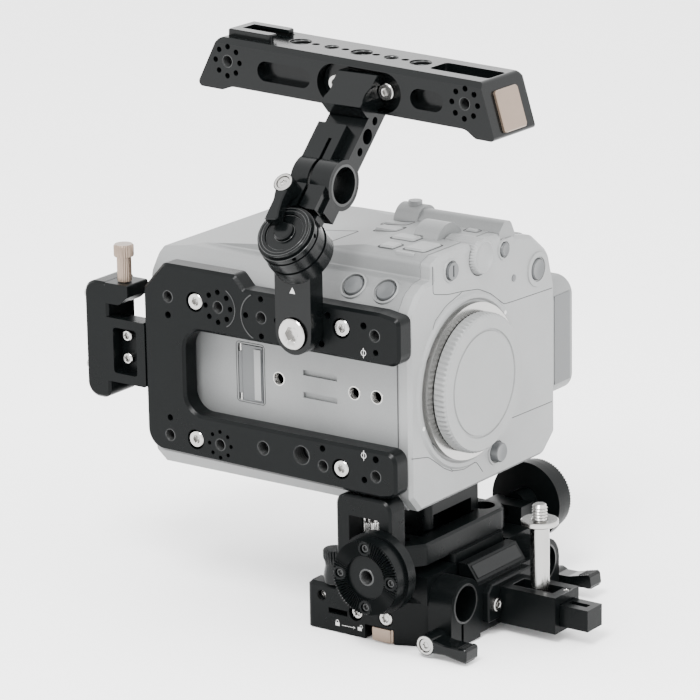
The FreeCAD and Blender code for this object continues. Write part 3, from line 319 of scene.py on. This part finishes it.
# Raised rings round the front controls, and the small round window of a sensor.
rings = []
for (y, z), inner, outer in (((-11.5, 152.4), 4.1, 5.2), ((27.6, 152.6), 3.4, 4.6),
                             ((53.0, 138.4), 5.1, 7.7), ((20.5, 66.8), 4.7, 6.1)):
    ring_rows = [(inner, -0.2), (inner + 0.25, 0.55), (outer - 0.35, 0.5), (outer, -0.2)]
    rings.append(hollow(ring_rows[::-1], (front_x, y, z), (1, 0, 0), 72))
mesh_piece("control_rings", rings, cover_paint, "rig")
mesh_piece("front_sensor", [turned([(0.1, -0.2), (1.5, -0.2), (1.5, 0.25), (1.1, 0.4), (0.1, 0.4)],
                                   (front_x, 35.0, 138.6), (1, 0, 0), 32)], dark_paint, "rig")

# Lens surround: stepped rim that follows the mount, with a shallow channel inside it.
rim = hollow([(33.4, -0.3), (34.6, 0.9), (36.2, 1.0), (37.4, -0.3)][::-1], (front_x, 0, axis_z),
             (1, 0, 0), 128)
mesh_piece("mount_rim", [rim], cover_paint, "rig")
marks_out = 35.4
marks = [turned([(0.1, 0), (0.9, 0), (0.9, 0.3), (0.1, 0.3)],
                (front_x + 0.7, marks_out * math.cos(a), axis_z + marks_out * math.sin(a)),
                (1, 0, 0), 24)
         for a in (math.radians(40), math.radians(200))]
mesh_piece("mount_marks", marks, print_white, "rig")

# ---------------------------------------------------------------- front controls
# The dial is a long ribbed roller lying in the deck, its front end dished; the buttons
# are turned caps with a soft hollow for the fingertip.
dial_rows = [(0.2, 2.6), (7.2, 2.6), (7.8, 3.2, 0.5), (7.8, 17.6, 0.5), (7.4, 18.4, 0.2),
             (6.9, 19.5), (6.4, 19.7), (5.9, 19.4), (5.4, 18.9), (0.2, 18.8)]
dial = mesh_piece("dial_roller", [turned(dial_rows, (0, 10.0, 153.6), (1, 0, 0), 288, ridges=36)],
                  cover_paint, "front_dial", crease=0.9)
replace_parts(dial, "front_dial")
for name, at, radius, proud in (("front_button", (27.6, 152.6), 2.9, 1.3),
                                ("white_balance_button", (53.0, 138.4), 4.5, 1.0),
                                ("lens_release_button", (20.5, 66.8), 4.2, 3.4)):
    rows = [(0.2, -4.0), (radius, -4.0), (radius, proud - 0.5), (radius - 0.5, proud),
            (radius * 0.7, proud - 0.15), (radius * 0.4, proud - 0.4), (0.2, proud - 0.5)]
    cap = mesh_piece(name + "_cap", [turned(rows, (front_x, *at), (1, 0, 0), 64)], dark_paint,
                     name, crease=0.9)
    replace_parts(cap, name)
dress(dark_paint, "slotted_knob", "side_door", "vent_panel", "deck_button_1", "deck_button_2",
      "deck_button_3", "deck_button_4")
shoulder = np.array([0, -0.72, 0.694])
shoulder_y = -35.6
shoulder_z = 147.2
shoulder_buttons = (("record_button", 2.3), ("assign_button", -13.7))
for name, x in shoulder_buttons:
    rows = [(0.2, -3.6), (4.4, -3.6), (4.4, 0.3), (3.9, 0.9), (3.0, 0.8), (1.5, 0.5), (0.2, 0.4)]
    cap = mesh_piece(name + "_cap", [turned(rows, (x, shoulder_y, shoulder_z), shoulder, 64)], dark_paint,
                     name, crease=0.9)
    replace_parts(cap, name)
collars = [hollow([(4.9, -1.0), (5.2, 0.75), (5.9, 0.55), (6.4, -1.0)][::-1],
                  (x, shoulder_y, shoulder_z), shoulder, 64) for _, x in shoulder_buttons]
mesh_piece("shoulder_collars", collars, shell_paint, "rig")
deck_top = 160.0
deck_fall = 11.0                # drop of the deck from its bend to the rear
deck_bend = -20.0               # X where the deck starts to fall
deck_run = 95.0
key_tall = 4.5
key_proud = 0.9
key_frame = 1.2                 # how much wider a key's frame is than the key
deck_keys = ((3.2, -10.5, 10, 13), (-11.0, -1.5, 11, 7), (-9.4, -15.2, 7, 7), (-27.0, 9.0, 11, 7))


def deck_level(x):
    """Height of the deck at X: level ahead of the bend, falling evenly behind it."""
    return deck_top - deck_fall * max(0.0, (deck_bend - x) / deck_run)


for number, (x, y, wide, deep) in enumerate(deck_keys, 1):
    name = f"deck_button_{number}"
    low = deck_level(x) + key_proud - key_tall
    key = mesh_piece(name + "_cap", [block((x - wide / 2, y - deep / 2, low),
                                           (wide, deep, key_tall), 0.7)], cover_paint, name)
    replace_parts(key, name)

# ---------------------------------------------------------------- deck, side and rear of the body
# Keys sit in hairline frames; small fixed keys, a pull on the card door, rear covers and a
# far-side grille break up the large faces of the shell.
frame_slope = 0.1158
framed = [(x, y, wide + key_frame, deep + key_frame) for x, y, wide, deep in deck_keys]
framed += [(-31.0, 20.5, 14.2, 6.4), (5.2, 22.8, 7.0, 4.6), (-52.0, -6.0, 26.0, 20.0)]
frames = []
for x, y, wide, deep in framed:
    path = on_plane(outline((x, y), wide, deep, 1.2), "Z", deck_level(x))
    path[:, 2] += np.where(path[:, 0] < deck_bend,
                           frame_slope * (path[:, 0] - min(x, deck_bend)), 0.0)
    frames.append(bead(path, 0.2, True))
mesh_piece("deck_frames", frames, seam_shadow, "rig")
fixed = [block((-36.9, 18.2, 156.2), (11.8, 4.6, 2.9), 0.5),
         block((2.6, 21.2, 158.0), (5.2, 3.2, 2.7), 0.5),
         block((-3.0, -21.4, 158.6), (9.0, 1.6, 1.6), 0.3)]
mesh_piece("fixed_keys", fixed, cover_paint, "rig")
pull = [block((-60.6, -42.1, 92.6), (3.4, 22.0, 0.3), 0.1, (1, 0, 0), (0, 0, 1))]
mesh_piece("door_pull", pull, cover_paint, "side_door")
port_places = [(x, near_side, 103.6) for x in (-48.4, -10.1, 1.1)]
ports = [thread_sleeve(at, (0, -1, 0), 2.65, 2.4) for at in port_places]
ports += [hollow([(2.5, -0.2), (2.6, 0.12), (3.0, 0.1), (3.15, -0.2)][::-1], at, (0, -1, 0), 56)
          for at in port_places]
mesh_piece("port_threads", ports, bright_steel, "rig")
grille = [bead([(x, 85.95, z) for x in np.linspace(-42, 7, 24)], 0.7)
          for z in np.linspace(84, 121, 13)]
grille.append(bead(on_plane(outline((-17.5, 102.5), 56, 43, 5), "Y", 85.9), 0.22, True))
mesh_piece("far_grille", grille, seam_shadow, "rig")
rear = [block((-115.2, 28, 74), (1.4, 26, 44), 0.6), block((-115.0, -36, 76), (1.2, 11, 40), 0.6)]
mesh_piece("rear_covers", rear, dark_paint, "rig")
rear_x = -114.0
rear_lines = [bead(on_plane(outline((41, 96), 27.6, 45.6, 2), "X", rear_x), 0.2, True),
              bead(on_plane(outline((0, 100), 47, 60, 2), "X", rear_x), 0.22, True)]
rear_lines += [bead([(-134.2, y, 76), (-134.2, y, 124)], 0.35) for y in np.arange(-16, 17, 4.0)]
mesh_piece("rear_lines", rear_lines, seam_shadow, "rig")
battery_shell = finish_of("battery_plastic", (0.010, 0.0105, 0.011), 0.55, grain=1400, depth=0.4)
dress(battery_shell, "battery", "main_board", "cooling_fan", "sensor_unit")

# ---------------------------------------------------------------- body cap
# A moulded cap closes the mount: knurled rim, stepped edge and one turned ring on its face.
cap_plastic = finish_of("cap_plastic", (0.165, 0.169, 0.168), 0.42, grain=1900, depth=0.3, wear=0.03)
cap_rows = [(0.2, 4.6), (20.4, 4.6), (20.4, -4.0), (22.4, -4.0), (22.4, 2.9), (28.8, 2.95),
            (29.4, 3.5, 0.8), (29.4, 7.0, 0.8), (29.0, 7.8, 0.3), (28.2, 8.6), (23.0, 8.6),
            (22.7, 8.1), (22.1, 8.1), (21.8, 8.6), (0.2, 8.65)]
cap = mesh_piece("cap_shell", [turned(cap_rows, (front_x, 0, axis_z), (1, 0, 0), 480, ridges=80)],
                 cap_plastic, "body_cap")
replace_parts(cap, "body_cap")
dress(bright_steel, "mount_ring")

# ---------------------------------------------------------------- side plate
# A milled plate with tapped accessory holes, index marks and four screws into the body.
dress(black_metal, "side_plate", "bottom_bracket", "riser_block", "base_block", "release_plate",
      "rosette_mounts", "rosettes", "rod_clamp", "support_arm", "support_slider", "cable_clamp")
plate_y = -54.2
sleeves = [thread_sleeve((x, plate_y, z), (0, -1, 0), 2.6, 6.5)
           for x, z in ((-95.8, 134.8), (-47.4, 132.9), (9.5, 133.9), (-96.6, 74.5), (-17.4, 74.5),
                        (9.0, 74.5), (-69.6, 134.1), (-70.2, 74.6))]
sleeves += [thread_sleeve((-47.8, plate_y, 77.0), (0, -1, 0), 3.05, 6.5),
            thread_sleeve((-28.2, plate_y, 77.3), (0, -1, 0), 4.05, 6.5, 1.3)]
mesh_piece("plate_threads", sleeves, dark_steel, "rig")
heads = [hex_screw((x, -51.0, z), (0, -1, 0), 3.6, 3.0, 1.55, 1.9, 1.95, 8.5)
         for x, z in ((-81.7, 134.6), (-7.0, 134.6), (-83.0, 74.8), (-8.5, 74.8))]
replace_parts(mesh_piece("plate_screw_heads", heads, bright_steel, "rig"), "plate_screws")
index = []
for x, z in ((3.2, 82.6), (3.9, 126.0)):
    index.append(bead(on_plane(circle((x, z), 1.15), "Y", plate_y - 0.03), 0.13, True))
    index.append(bead([(x, plate_y - 0.03, z - 2.1), (x, plate_y - 0.03, z + 2.1)], 0.13))
mesh_piece("plate_index", index, print_white, "rig")
arcs = [bead(on_plane(circle((-47.4, 132.9), 10.2, 118, 246), "Y", plate_y), 0.28),
        bead(on_plane(circle((-69.6, 134.1), 8.9, 300, 420), "Y", plate_y), 0.22)]
mesh_piece("plate_grooves", arcs, dark_steel, "rig")

# ---------------------------------------------------------------- rosettes
# Radial teeth lock an arm against the rosette; they run out round four screw seats.
def tooth_ring(at, axis, inner, outer, teeth, seats):
    """Toothed ring: polar grid whose height is a triangle wave of the angle, growing with radius.

    Round each seat the wave fades into a flat collar, and inside the collar it drops away so
    that the screw can sink in.
    """
    columns = teeth * 12
    theta = np.linspace(0, 2 * math.pi, columns, endpoint=False)
    radius = np.linspace(outer, inner, 30)[:, None]
    phase = (theta * teeth / (2 * math.pi)) % 1.0
    wave = 1 - np.abs(2 * phase - 1)
    height = 0.1 + 0.95 * wave[None, :] * radius / outer
    for angle, away in seats:
        gone = np.hypot(radius * np.cos(theta) - away * math.cos(angle),
                        radius * np.sin(theta) - away * math.sin(angle))
        flat = np.clip((gone - 2.75) / 0.35, 0, 1)
        height = height * flat + 0.85 * (1 - flat)
        height = np.where(gone < 1.95, -2.2, height)
    radius = np.repeat(radius, columns, 1)
    radius = np.concatenate([radius[:1], radius, radius[-1:]])
    floor_row = np.full((1, columns), -1.5)
    height = np.concatenate([floor_row, height, floor_row])
    away = np.asarray(axis, float)
    u = np.cross((0.0, 0.0, 1.0), away)
    v = np.cross(away, u)
    points = (np.asarray(at, float) + height[..., None] * away
              + radius[..., None] * (np.cos(theta)[:, None] * u + np.sin(theta)[:, None] * v))
    return points.reshape(-1, 3), grid_faces(len(radius), columns, wrap_rows=True)


seat_out = 12.6
quarter_turns = [(i * math.pi / 2, seat_out) for i in range(4)]
rosette_x = 10.5
rosette_z = 34.5
for side, name in ((-1, "near"), (1, "far")):
    face = (rosette_x, side * 64.5, rosette_z)
    ring = [tooth_ring(face, (0, side, 0), 9.3, 15.75, 78, quarter_turns)]
    mesh_piece(name + "_rosette_teeth", ring, black_metal, "rig", crease=0.35)
    bore = [thread_sleeve((rosette_x, side * 63.72, rosette_z), (0, side, 0), 3.05, 7.0),
            hollow([(2.9, -0.1), (3.0, 0.12), (3.5, 0.1), (3.7, -0.1)][::-1],
                   (rosette_x, side * 63.7, rosette_z), (0, side, 0), 48)]
    mesh_piece(name + "_rosette_thread", bore, dark_steel, "rig")
small = [hex_screw((rosette_x + seat_out * math.cos(a), side * 62.1,
                    rosette_z + seat_out * math.sin(a)),
                   (0, side, 0), 1.85, 2.5, 0.95, 1.3, 0.95, 3.0)
         for side in (-1, 1) for a, _ in quarter_turns]
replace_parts(mesh_piece("rosette_screw_heads", small, dark_steel, "rig"),
            "rosette_screws")

# ---------------------------------------------------------------- quick-release base
# Sockets on the near face, a bright captive screw behind the upright, and padlock symbols
# beside the safety latch.
def padlock(x, z, swing):
    """Padlock symbol: a small plate with an arched shackle, shifted sideways when open."""
    y = -46.05
    body = block((x - 1.0, y, z - 0.9), (2.0, 0.12, 1.5), 0.04)
    t = np.linspace(0, math.pi, 16)
    arch = np.column_stack([x + swing + 0.62 * np.cos(t), np.full(16, y),
                            z + 0.9 + 0.75 * np.sin(t)])
    foot = [(x + swing + 0.62, y, z + 0.5)]
    tail = [(x + swing - 0.62, y, z + (0.9 if swing else 0.5))]
    return [body, bead(np.concatenate([foot, arch, tail]), 0.13)]


symbols = padlock(-17.5, 3.6, 0.0) + padlock(-6.2, 3.6, 0.8)
symbols.append(bead([(x, -46.03, 3.4) for x in np.linspace(-15.2, -8.6, 12)], 0.1))
symbols.append(bead([(-9.4, -46.03, 3.9), (-8.5, -46.03, 3.4), (-9.4, -46.03, 2.9)], 0.1))
mesh_piece("latch_symbols", symbols, print_white, "rig")
heads = [hex_screw((-25.4, -42.5, 14.6), (0, -1, 0), 2.1, 1.4, 1.1, 1.1, 1.0, 0.8),
         hex_screw((-8.3, -42.9, 10.0), (0, -1, 0), 2.9, 1.8, 1.4, 1.3, 1.0, 0.8),
         hex_screw((7.0, -44.6, 10.7), (0, -1, 0), 3.1, 1.7, 1.5, 1.3, 1.0, 0.4)]
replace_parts(mesh_piece("base_screw_heads", heads, bright_steel, "rig"), "base_screws")
captive_rows = [(0.2, 42.6), (4.2, 42.6), (4.4, 43.2, 0.3), (4.4, 48.6, 0.3), (4.0, 49.2),
                (3.2, 49.3), (3.2, 53.8), (0.2, 53.9)]
captive = turned(captive_rows, (-4.4, -38.8, 0), (0, 0, 1), 192, ridges=32)
mesh_piece("captive_screw", [captive], bright_steel, "rig")
knob = turned([(0.2, 20.35), (4.6, 20.35), (4.85, 20.7), (4.8, 24.0), (4.1, 27.6), (4.2, 29.2, 0.25),
               (5.0, 31.4, 0.45), (5.0, 34.2, 0.45), (4.5, 34.9, 0.2), (0.2, 34.95)],
              (-21.0, -42.2, 0), (0, 0, 1), 192, ridges=24)
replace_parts(mesh_piece("lock_knob_turned", [knob], arm_metal, "lock_knob"), "lock_knob")
tapped = [thread_sleeve((0, 0, 0.02), (0, 0, -1), 4.85, 9.0, 1.6),
          thread_sleeve((-18, 0, 0.02), (0, 0, -1), 3.25, 9.0, 1.27)]
mesh_piece("base_threads", tapped, dark_steel, "rig")
champagne = finish_of("champagne_anodised", (0.21, 0.16, 0.125), 0.30, metal=0.75, grain=1800, depth=0.2)
dress(champagne, "handle_end_plates", "safety_latch")

# ---------------------------------------------------------------- rod clamp and levers
# Two levers pinch the clamp round its rods; a blank raised panel fills the sloping face.
panel = block((33.1, -16.5, 24.25), (33.0, 6.1, 0.28), 0.2, (0, 1, 0), (-0.579, 0, 0.815))
mesh_piece("blank_panel", [panel], arm_metal, "rig")
edges = [hollow([(7.55, -0.2), (7.6, 0.12), (8.4, 0.1), (8.6, -0.2)][::-1], (36.0, y, 18.0),
                (1, 0, 0), 96) for y in (-30.0, 30.0)]
mesh_piece("rod_mouths", edges, dark_steel, "rig")


def lever_trim(at, out, along, reach, width):
    """Ridges across a lever's tip, over and under."""
    at = np.asarray(at, float)
    out = np.asarray(out, float)
    along = np.asarray(along, float) / np.linalg.norm(along)
    over = np.cross(out, along)
    ridges = []
    for back in np.arange(0.9, 6.0, 1.25):
        for rise in (3.05 - back * 0.16, -3.35 + back * 0.09):
            start = at + along * (reach - back) + over * rise
            ridges.append(bead([start + out * d for d in np.linspace(2.9, width + 1.1, 6)], 0.26))
    return ridges


def lever_head(seat, axis, lift, key, length):
    """Lever's bolt: a small socket head with a bright washer lifted round it."""
    seat = np.asarray(seat, float)
    axis = np.asarray(axis, float)
    washer = [(2.95, 0.2), (3.0, 0.8), (3.9, 0.7), (4.05, 0.2)]
    return [hex_screw(seat, axis, 2.9, 1.3, 1.2, 0.9, key, length),
            hollow(washer[::-1], seat + axis * lift, axis, 48)]


dress(arm_metal, "near_lever", "far_lever", "arm_lever", "lower_arm", "upper_arm", "saddle",
      "top_handle", "tension_disc", "accessory_shoe")
bolt_x = 30.5
bolt_z = 5.4
for side, name, rise in ((-1, "near_lever", -3.0), (1, "far_lever", 8.0)):
    along = (math.cos(math.radians(rise)), 0, math.sin(math.radians(rise)))
    start = (bolt_x, side * 40.9, bolt_z)
    mesh_piece(name + "_ridges", lever_trim(start, (0, side, 0), along, 20.0, 8.6), arm_metal, name)
    head = lever_head((bolt_x, side * 49.9, bolt_z), (0, side, 0), 1.1, 1.85, 20.0)
    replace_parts(mesh_piece(name + "_head", head, bright_steel, name), name + "_bolt")

# ---------------------------------------------------------------- lens support
# A polished post on a slider carries a quarter-inch stud with a loose washer.
dress(bright_steel, "support_post", "door_pin")
post_top = (52.8, 0, 47.0)
inch_pitch = 1.27               # twenty threads to the inch
stud_rows = [(0.2, -7.0), (3.0, -7.0)] + [(3.15, h, 0.5) for h in np.arange(-0.4, 8.0, 0.14)]
stud_rows += [(2.7, 8.5, 0.2), (2.2, 8.9), (0.2, 9.0)]
stud = turned(stud_rows, post_top, (0, 0, 1), 48, ridges=1, twist=1 / inch_pitch)
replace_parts(mesh_piece("stud_thread", [stud], bright_steel, "support_slider"),
            "support_stud")
washer = hollow([(3.3, 0.05), (3.3, 1.9), (3.6, 2.2), (7.4, 2.25), (7.8, 1.9), (7.8, 0.4),
                 (7.5, 0.05)][::-1], post_top, (0, 0, 1), 96)
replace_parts(mesh_piece("stud_washer", [washer], bright_steel, "support_nut"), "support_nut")
heads = [hex_screw((39.0, y, 13.5), (1, 0, 0), 2.9, 2.0, 1.35, 1.4, 1.6, 2.5) for y in (-13.2, 13.2)]
heads.append(hex_screw((64.0, 2.6, 16.5), (0, 0, 1), 1.45, 3.15, 0.8, 1.5, 0.6, 0.1))
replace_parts(mesh_piece("support_screw_heads", heads, bright_steel, "rig"),
            "support_screws")
slot_edge = [bead(on_plane(outline((53.9, 0), 24.0, 9.4, 1.0), "Z", 19.8), 0.16, True)]
mesh_piece("slot_edge", slot_edge, dark_steel, "rig")

# ---------------------------------------------------------------- folding arm
# The lower arm turns on a large socket screw; the upper one locks with a grooved disc and
# a lever. A white mark shows the upright position.
big = hex_screw((-24.5, -60.7, 131.8), (0, -1, 0), 6.45, 3.9, 2.9, 2.6, 3.9, 13.0)
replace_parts(mesh_piece("pivot_screw_head", [big], bright_steel, "rig"), "pivot_screw")
tri = np.array([(-25.9, 148.6), (-23.1, 148.6), (-24.5, 151.2)])
tri = np.concatenate([on_plane(tri, "Y", -62.9), on_plane(tri, "Y", -63.06)])
mesh_piece("arm_mark", [(tri, [(2, 1, 0), (3, 4, 5), (0, 1, 4, 3), (1, 2, 5, 4), (2, 0, 3, 5)])],
           print_white, "lower_arm")
half = math.sqrt(0.5)
lean = np.array([0, half, half])
out = np.array([0, -half, half])
arm_x = -24.5
rod_boss = np.array([arm_x, -39.8, 189.8])
hub = rod_boss - lean * 30.0


def disc_circle(radius, height):
    """Circle round the arm's hinge axis at a height along it."""
    t = np.linspace(0, 2 * math.pi, 96, endpoint=False)[:, None]
    return hub + out * height + radius * (np.cos(t) * np.array([1.0, 0, 0]) + np.sin(t) * lean)


grooves = [bead(disc_circle(radius, height), 0.16, True)
           for radius, height in ((11.2, 9.6), (9.9, 9.6), (12.6, 7.5), (8.2, 8.9), (4.4, 8.9))]
mesh_piece("disc_grooves", grooves, dark_steel, "tension_disc")
boss = turned([(0.2, 8.4), (4.2, 8.4), (4.2, 10.4), (3.6, 11.0), (0.2, 11.0)], hub, out, 64)
mesh_piece("disc_boss", [boss], arm_metal, "tension_disc")
lever_foot = rod_boss + (-6.5, 0, 0) - lean * 11.2 + out * 8.8
swing = np.array([0.14, 0, 0]) - lean
mesh_piece("arm_lever_ridges", lever_trim(lever_foot, out, swing, 17.5, 5.0), arm_metal, "arm_lever")
head = lever_head(lever_foot + out * 5.5, out, 0.9, 1.8, 12.0)
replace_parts(mesh_piece("arm_lever_head", head, bright_steel, "arm_lever"),
            "arm_lever_bolt")
bore_rims = [hollow([(7.55, -0.2), (7.6, 0.12), (8.6, 0.1), (8.8, -0.2)][::-1],
                    rod_boss + (s * 9.75, 0, 0), (s, 0, 0), 96) for s in (-1, 1)]
mesh_piece("arm_bore_rims", bore_rims, dark_steel, "upper_arm")

# ---------------------------------------------------------------- top handle
# The handle pitches two degrees nose-down; its tapped holes run along the top.
pitch = math.radians(2.0)
saddle_z = 224.0
large_bore = 4.85
small_bore = 3.25


def tilted(part):
    """Turn a part with the handle, about the cross axis through the saddle screws."""
    points, faces = part
    x = points[:, 0] - arm_x
    z = points[:, 2] - saddle_z
    return np.column_stack([x * math.cos(pitch) + z * math.sin(pitch) + arm_x, points[:, 1],
                            z * math.cos(pitch) - x * math.sin(pitch) + saddle_z]), faces


tapped = [tilted(thread_sleeve((x, 0, 235.03), (0, 0, 1), radius, 10.0, rise))
          for x, radius, rise in ((-64.8, large_bore, 1.6), (-33.8, large_bore, 1.6),
                                  (-4.4, large_bore, 1.6), (-49.0, small_bore, inch_pitch),
                                  (-19.0, small_bore, inch_pitch))]
tapped += [tilted(thread_sleeve((x, side * 15.03, 225.5), (0, side, 0), 2.62, 8.0))
           for x in (-91.5, 27.5) for side in (-1, 1)]
mesh_piece("handle_threads", tapped, dark_steel, "upper_arm")
heads = [tilted(hex_screw((x, -10.7, saddle_z), (0, -1, 0), 3.65, 3.2, 1.6, 1.9, 1.95, 7.0))
         for x in (-37.0, -12.0)]
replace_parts(mesh_piece("saddle_screw_heads", heads, bright_steel, "upper_arm"),
            "saddle_screws")

# ---------------------------------------------------------------- cable clamp
# A fork behind the plate holds the cable down with a champagne thumbscrew.
thumb_rows = [(0.2, 127.7), (1.95, 127.7), (1.95, 136.3), (3.0, 136.4), (3.1, 136.8, 0.25),
              (3.1, 146.4, 0.25), (3.2, 147.0), (4.1, 147.1), (4.3, 147.6, 0.4),
              (4.3, 151.6, 0.4), (3.8, 152.3), (0.2, 152.3)]
thumb = turned(thumb_rows, (-123.5, -48.0, 0), (0, 0, 1), 192, ridges=24)
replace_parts(mesh_piece("thumbscrew_turned", [thumb], champagne, "thumbscrew"),
            "thumbscrew")
heads = [hex_screw((-121.5, -48.0, z), (0, -1, 0), 2.4, 2.4, 1.2, 1.4, 1.2, 1.4)
         for z in (103.0, 113.0)]
heads += [hex_screw((-141.0, -50.0, z), (-1, 0, 0), 2.2, 1.6, 1.1, 1.0, 1.5, 6.0)
          for z in (98.0, 129.0)]
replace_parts(mesh_piece("clamp_screw_heads", heads, bright_steel, "rig"), "clamp_screws")

# ---------------------------------------------------------------- stage, light and camera
# A white seamless floor, large soft lamps and a bright even surround.
floor_data = bpy.data.meshes.new("floor")
reach = 6.0                     # half the floor's side, in metres
below = -0.0004                 # just under the base, so that the two faces don't meet
floor_data.from_pydata([(-reach, -reach, below), (reach, -reach, below),
                        (reach, reach, below), (-reach, reach, below)], [], [(0, 1, 2, 3)])
floor = bpy.data.objects.new("floor", floor_data)
bpy.context.scene.collection.objects.link(floor)
paper = finish_of("paper", (0.93, 0.93, 0.93), 0.85, depth=0.0, drift=0.005)
floor_data.materials.append(paper)

world = bpy.data.worlds.new("surround")
world.use_nodes = True
surround = world.node_tree.nodes["Background"]
surround.inputs["Color"].default_value = (1.0, 1.0, 1.0, 1)
surround.inputs["Strength"].default_value = 3.3
bpy.context.scene.world = world


def lamp(name, at, aim, size, power):
    """Square soft lamp at a point, facing another."""
    data = bpy.data.lights.new(name, "AREA")
    data.size = size
    data.energy = power
    made = bpy.data.objects.new(name, data)
    made.location = at
    made.rotation_euler = (Vector(aim) - Vector(at)).to_track_quat("-Z", "Y").to_euler()
    bpy.context.scene.collection.objects.link(made)


middle = (-0.03, 0.0, 0.11)
lamp("key_lamp", (0.25, -0.9, 1.35), middle, 0.5, 40)
lamp("side_lamp", (-1.3, -0.6, 0.7), middle, 0.6, 12)
lamp("front_lamp", (1.4, 0.1, 0.6), middle, 0.5, 16)

view = bpy.data.cameras.new("view")
view.lens = 205.714
view.sensor_width = 36.0
view.clip_start = 0.05
camera = bpy.data.objects.new("view", view)
right = Vector((0.8128, 0.5823, -0.0168)).normalized()
back = Vector((0.5631, -0.7779, 0.2790)).normalized()
up = back.cross(right).normalized()
right = up.cross(back).normalized()
turn = Matrix((right, up, back)).transposed().to_4x4()
camera.matrix_world = Matrix.Translation((0.9047, -1.3078, 0.5758)) @ turn
bpy.context.scene.collection.objects.link(camera)
bpy.context.scene.camera = camera
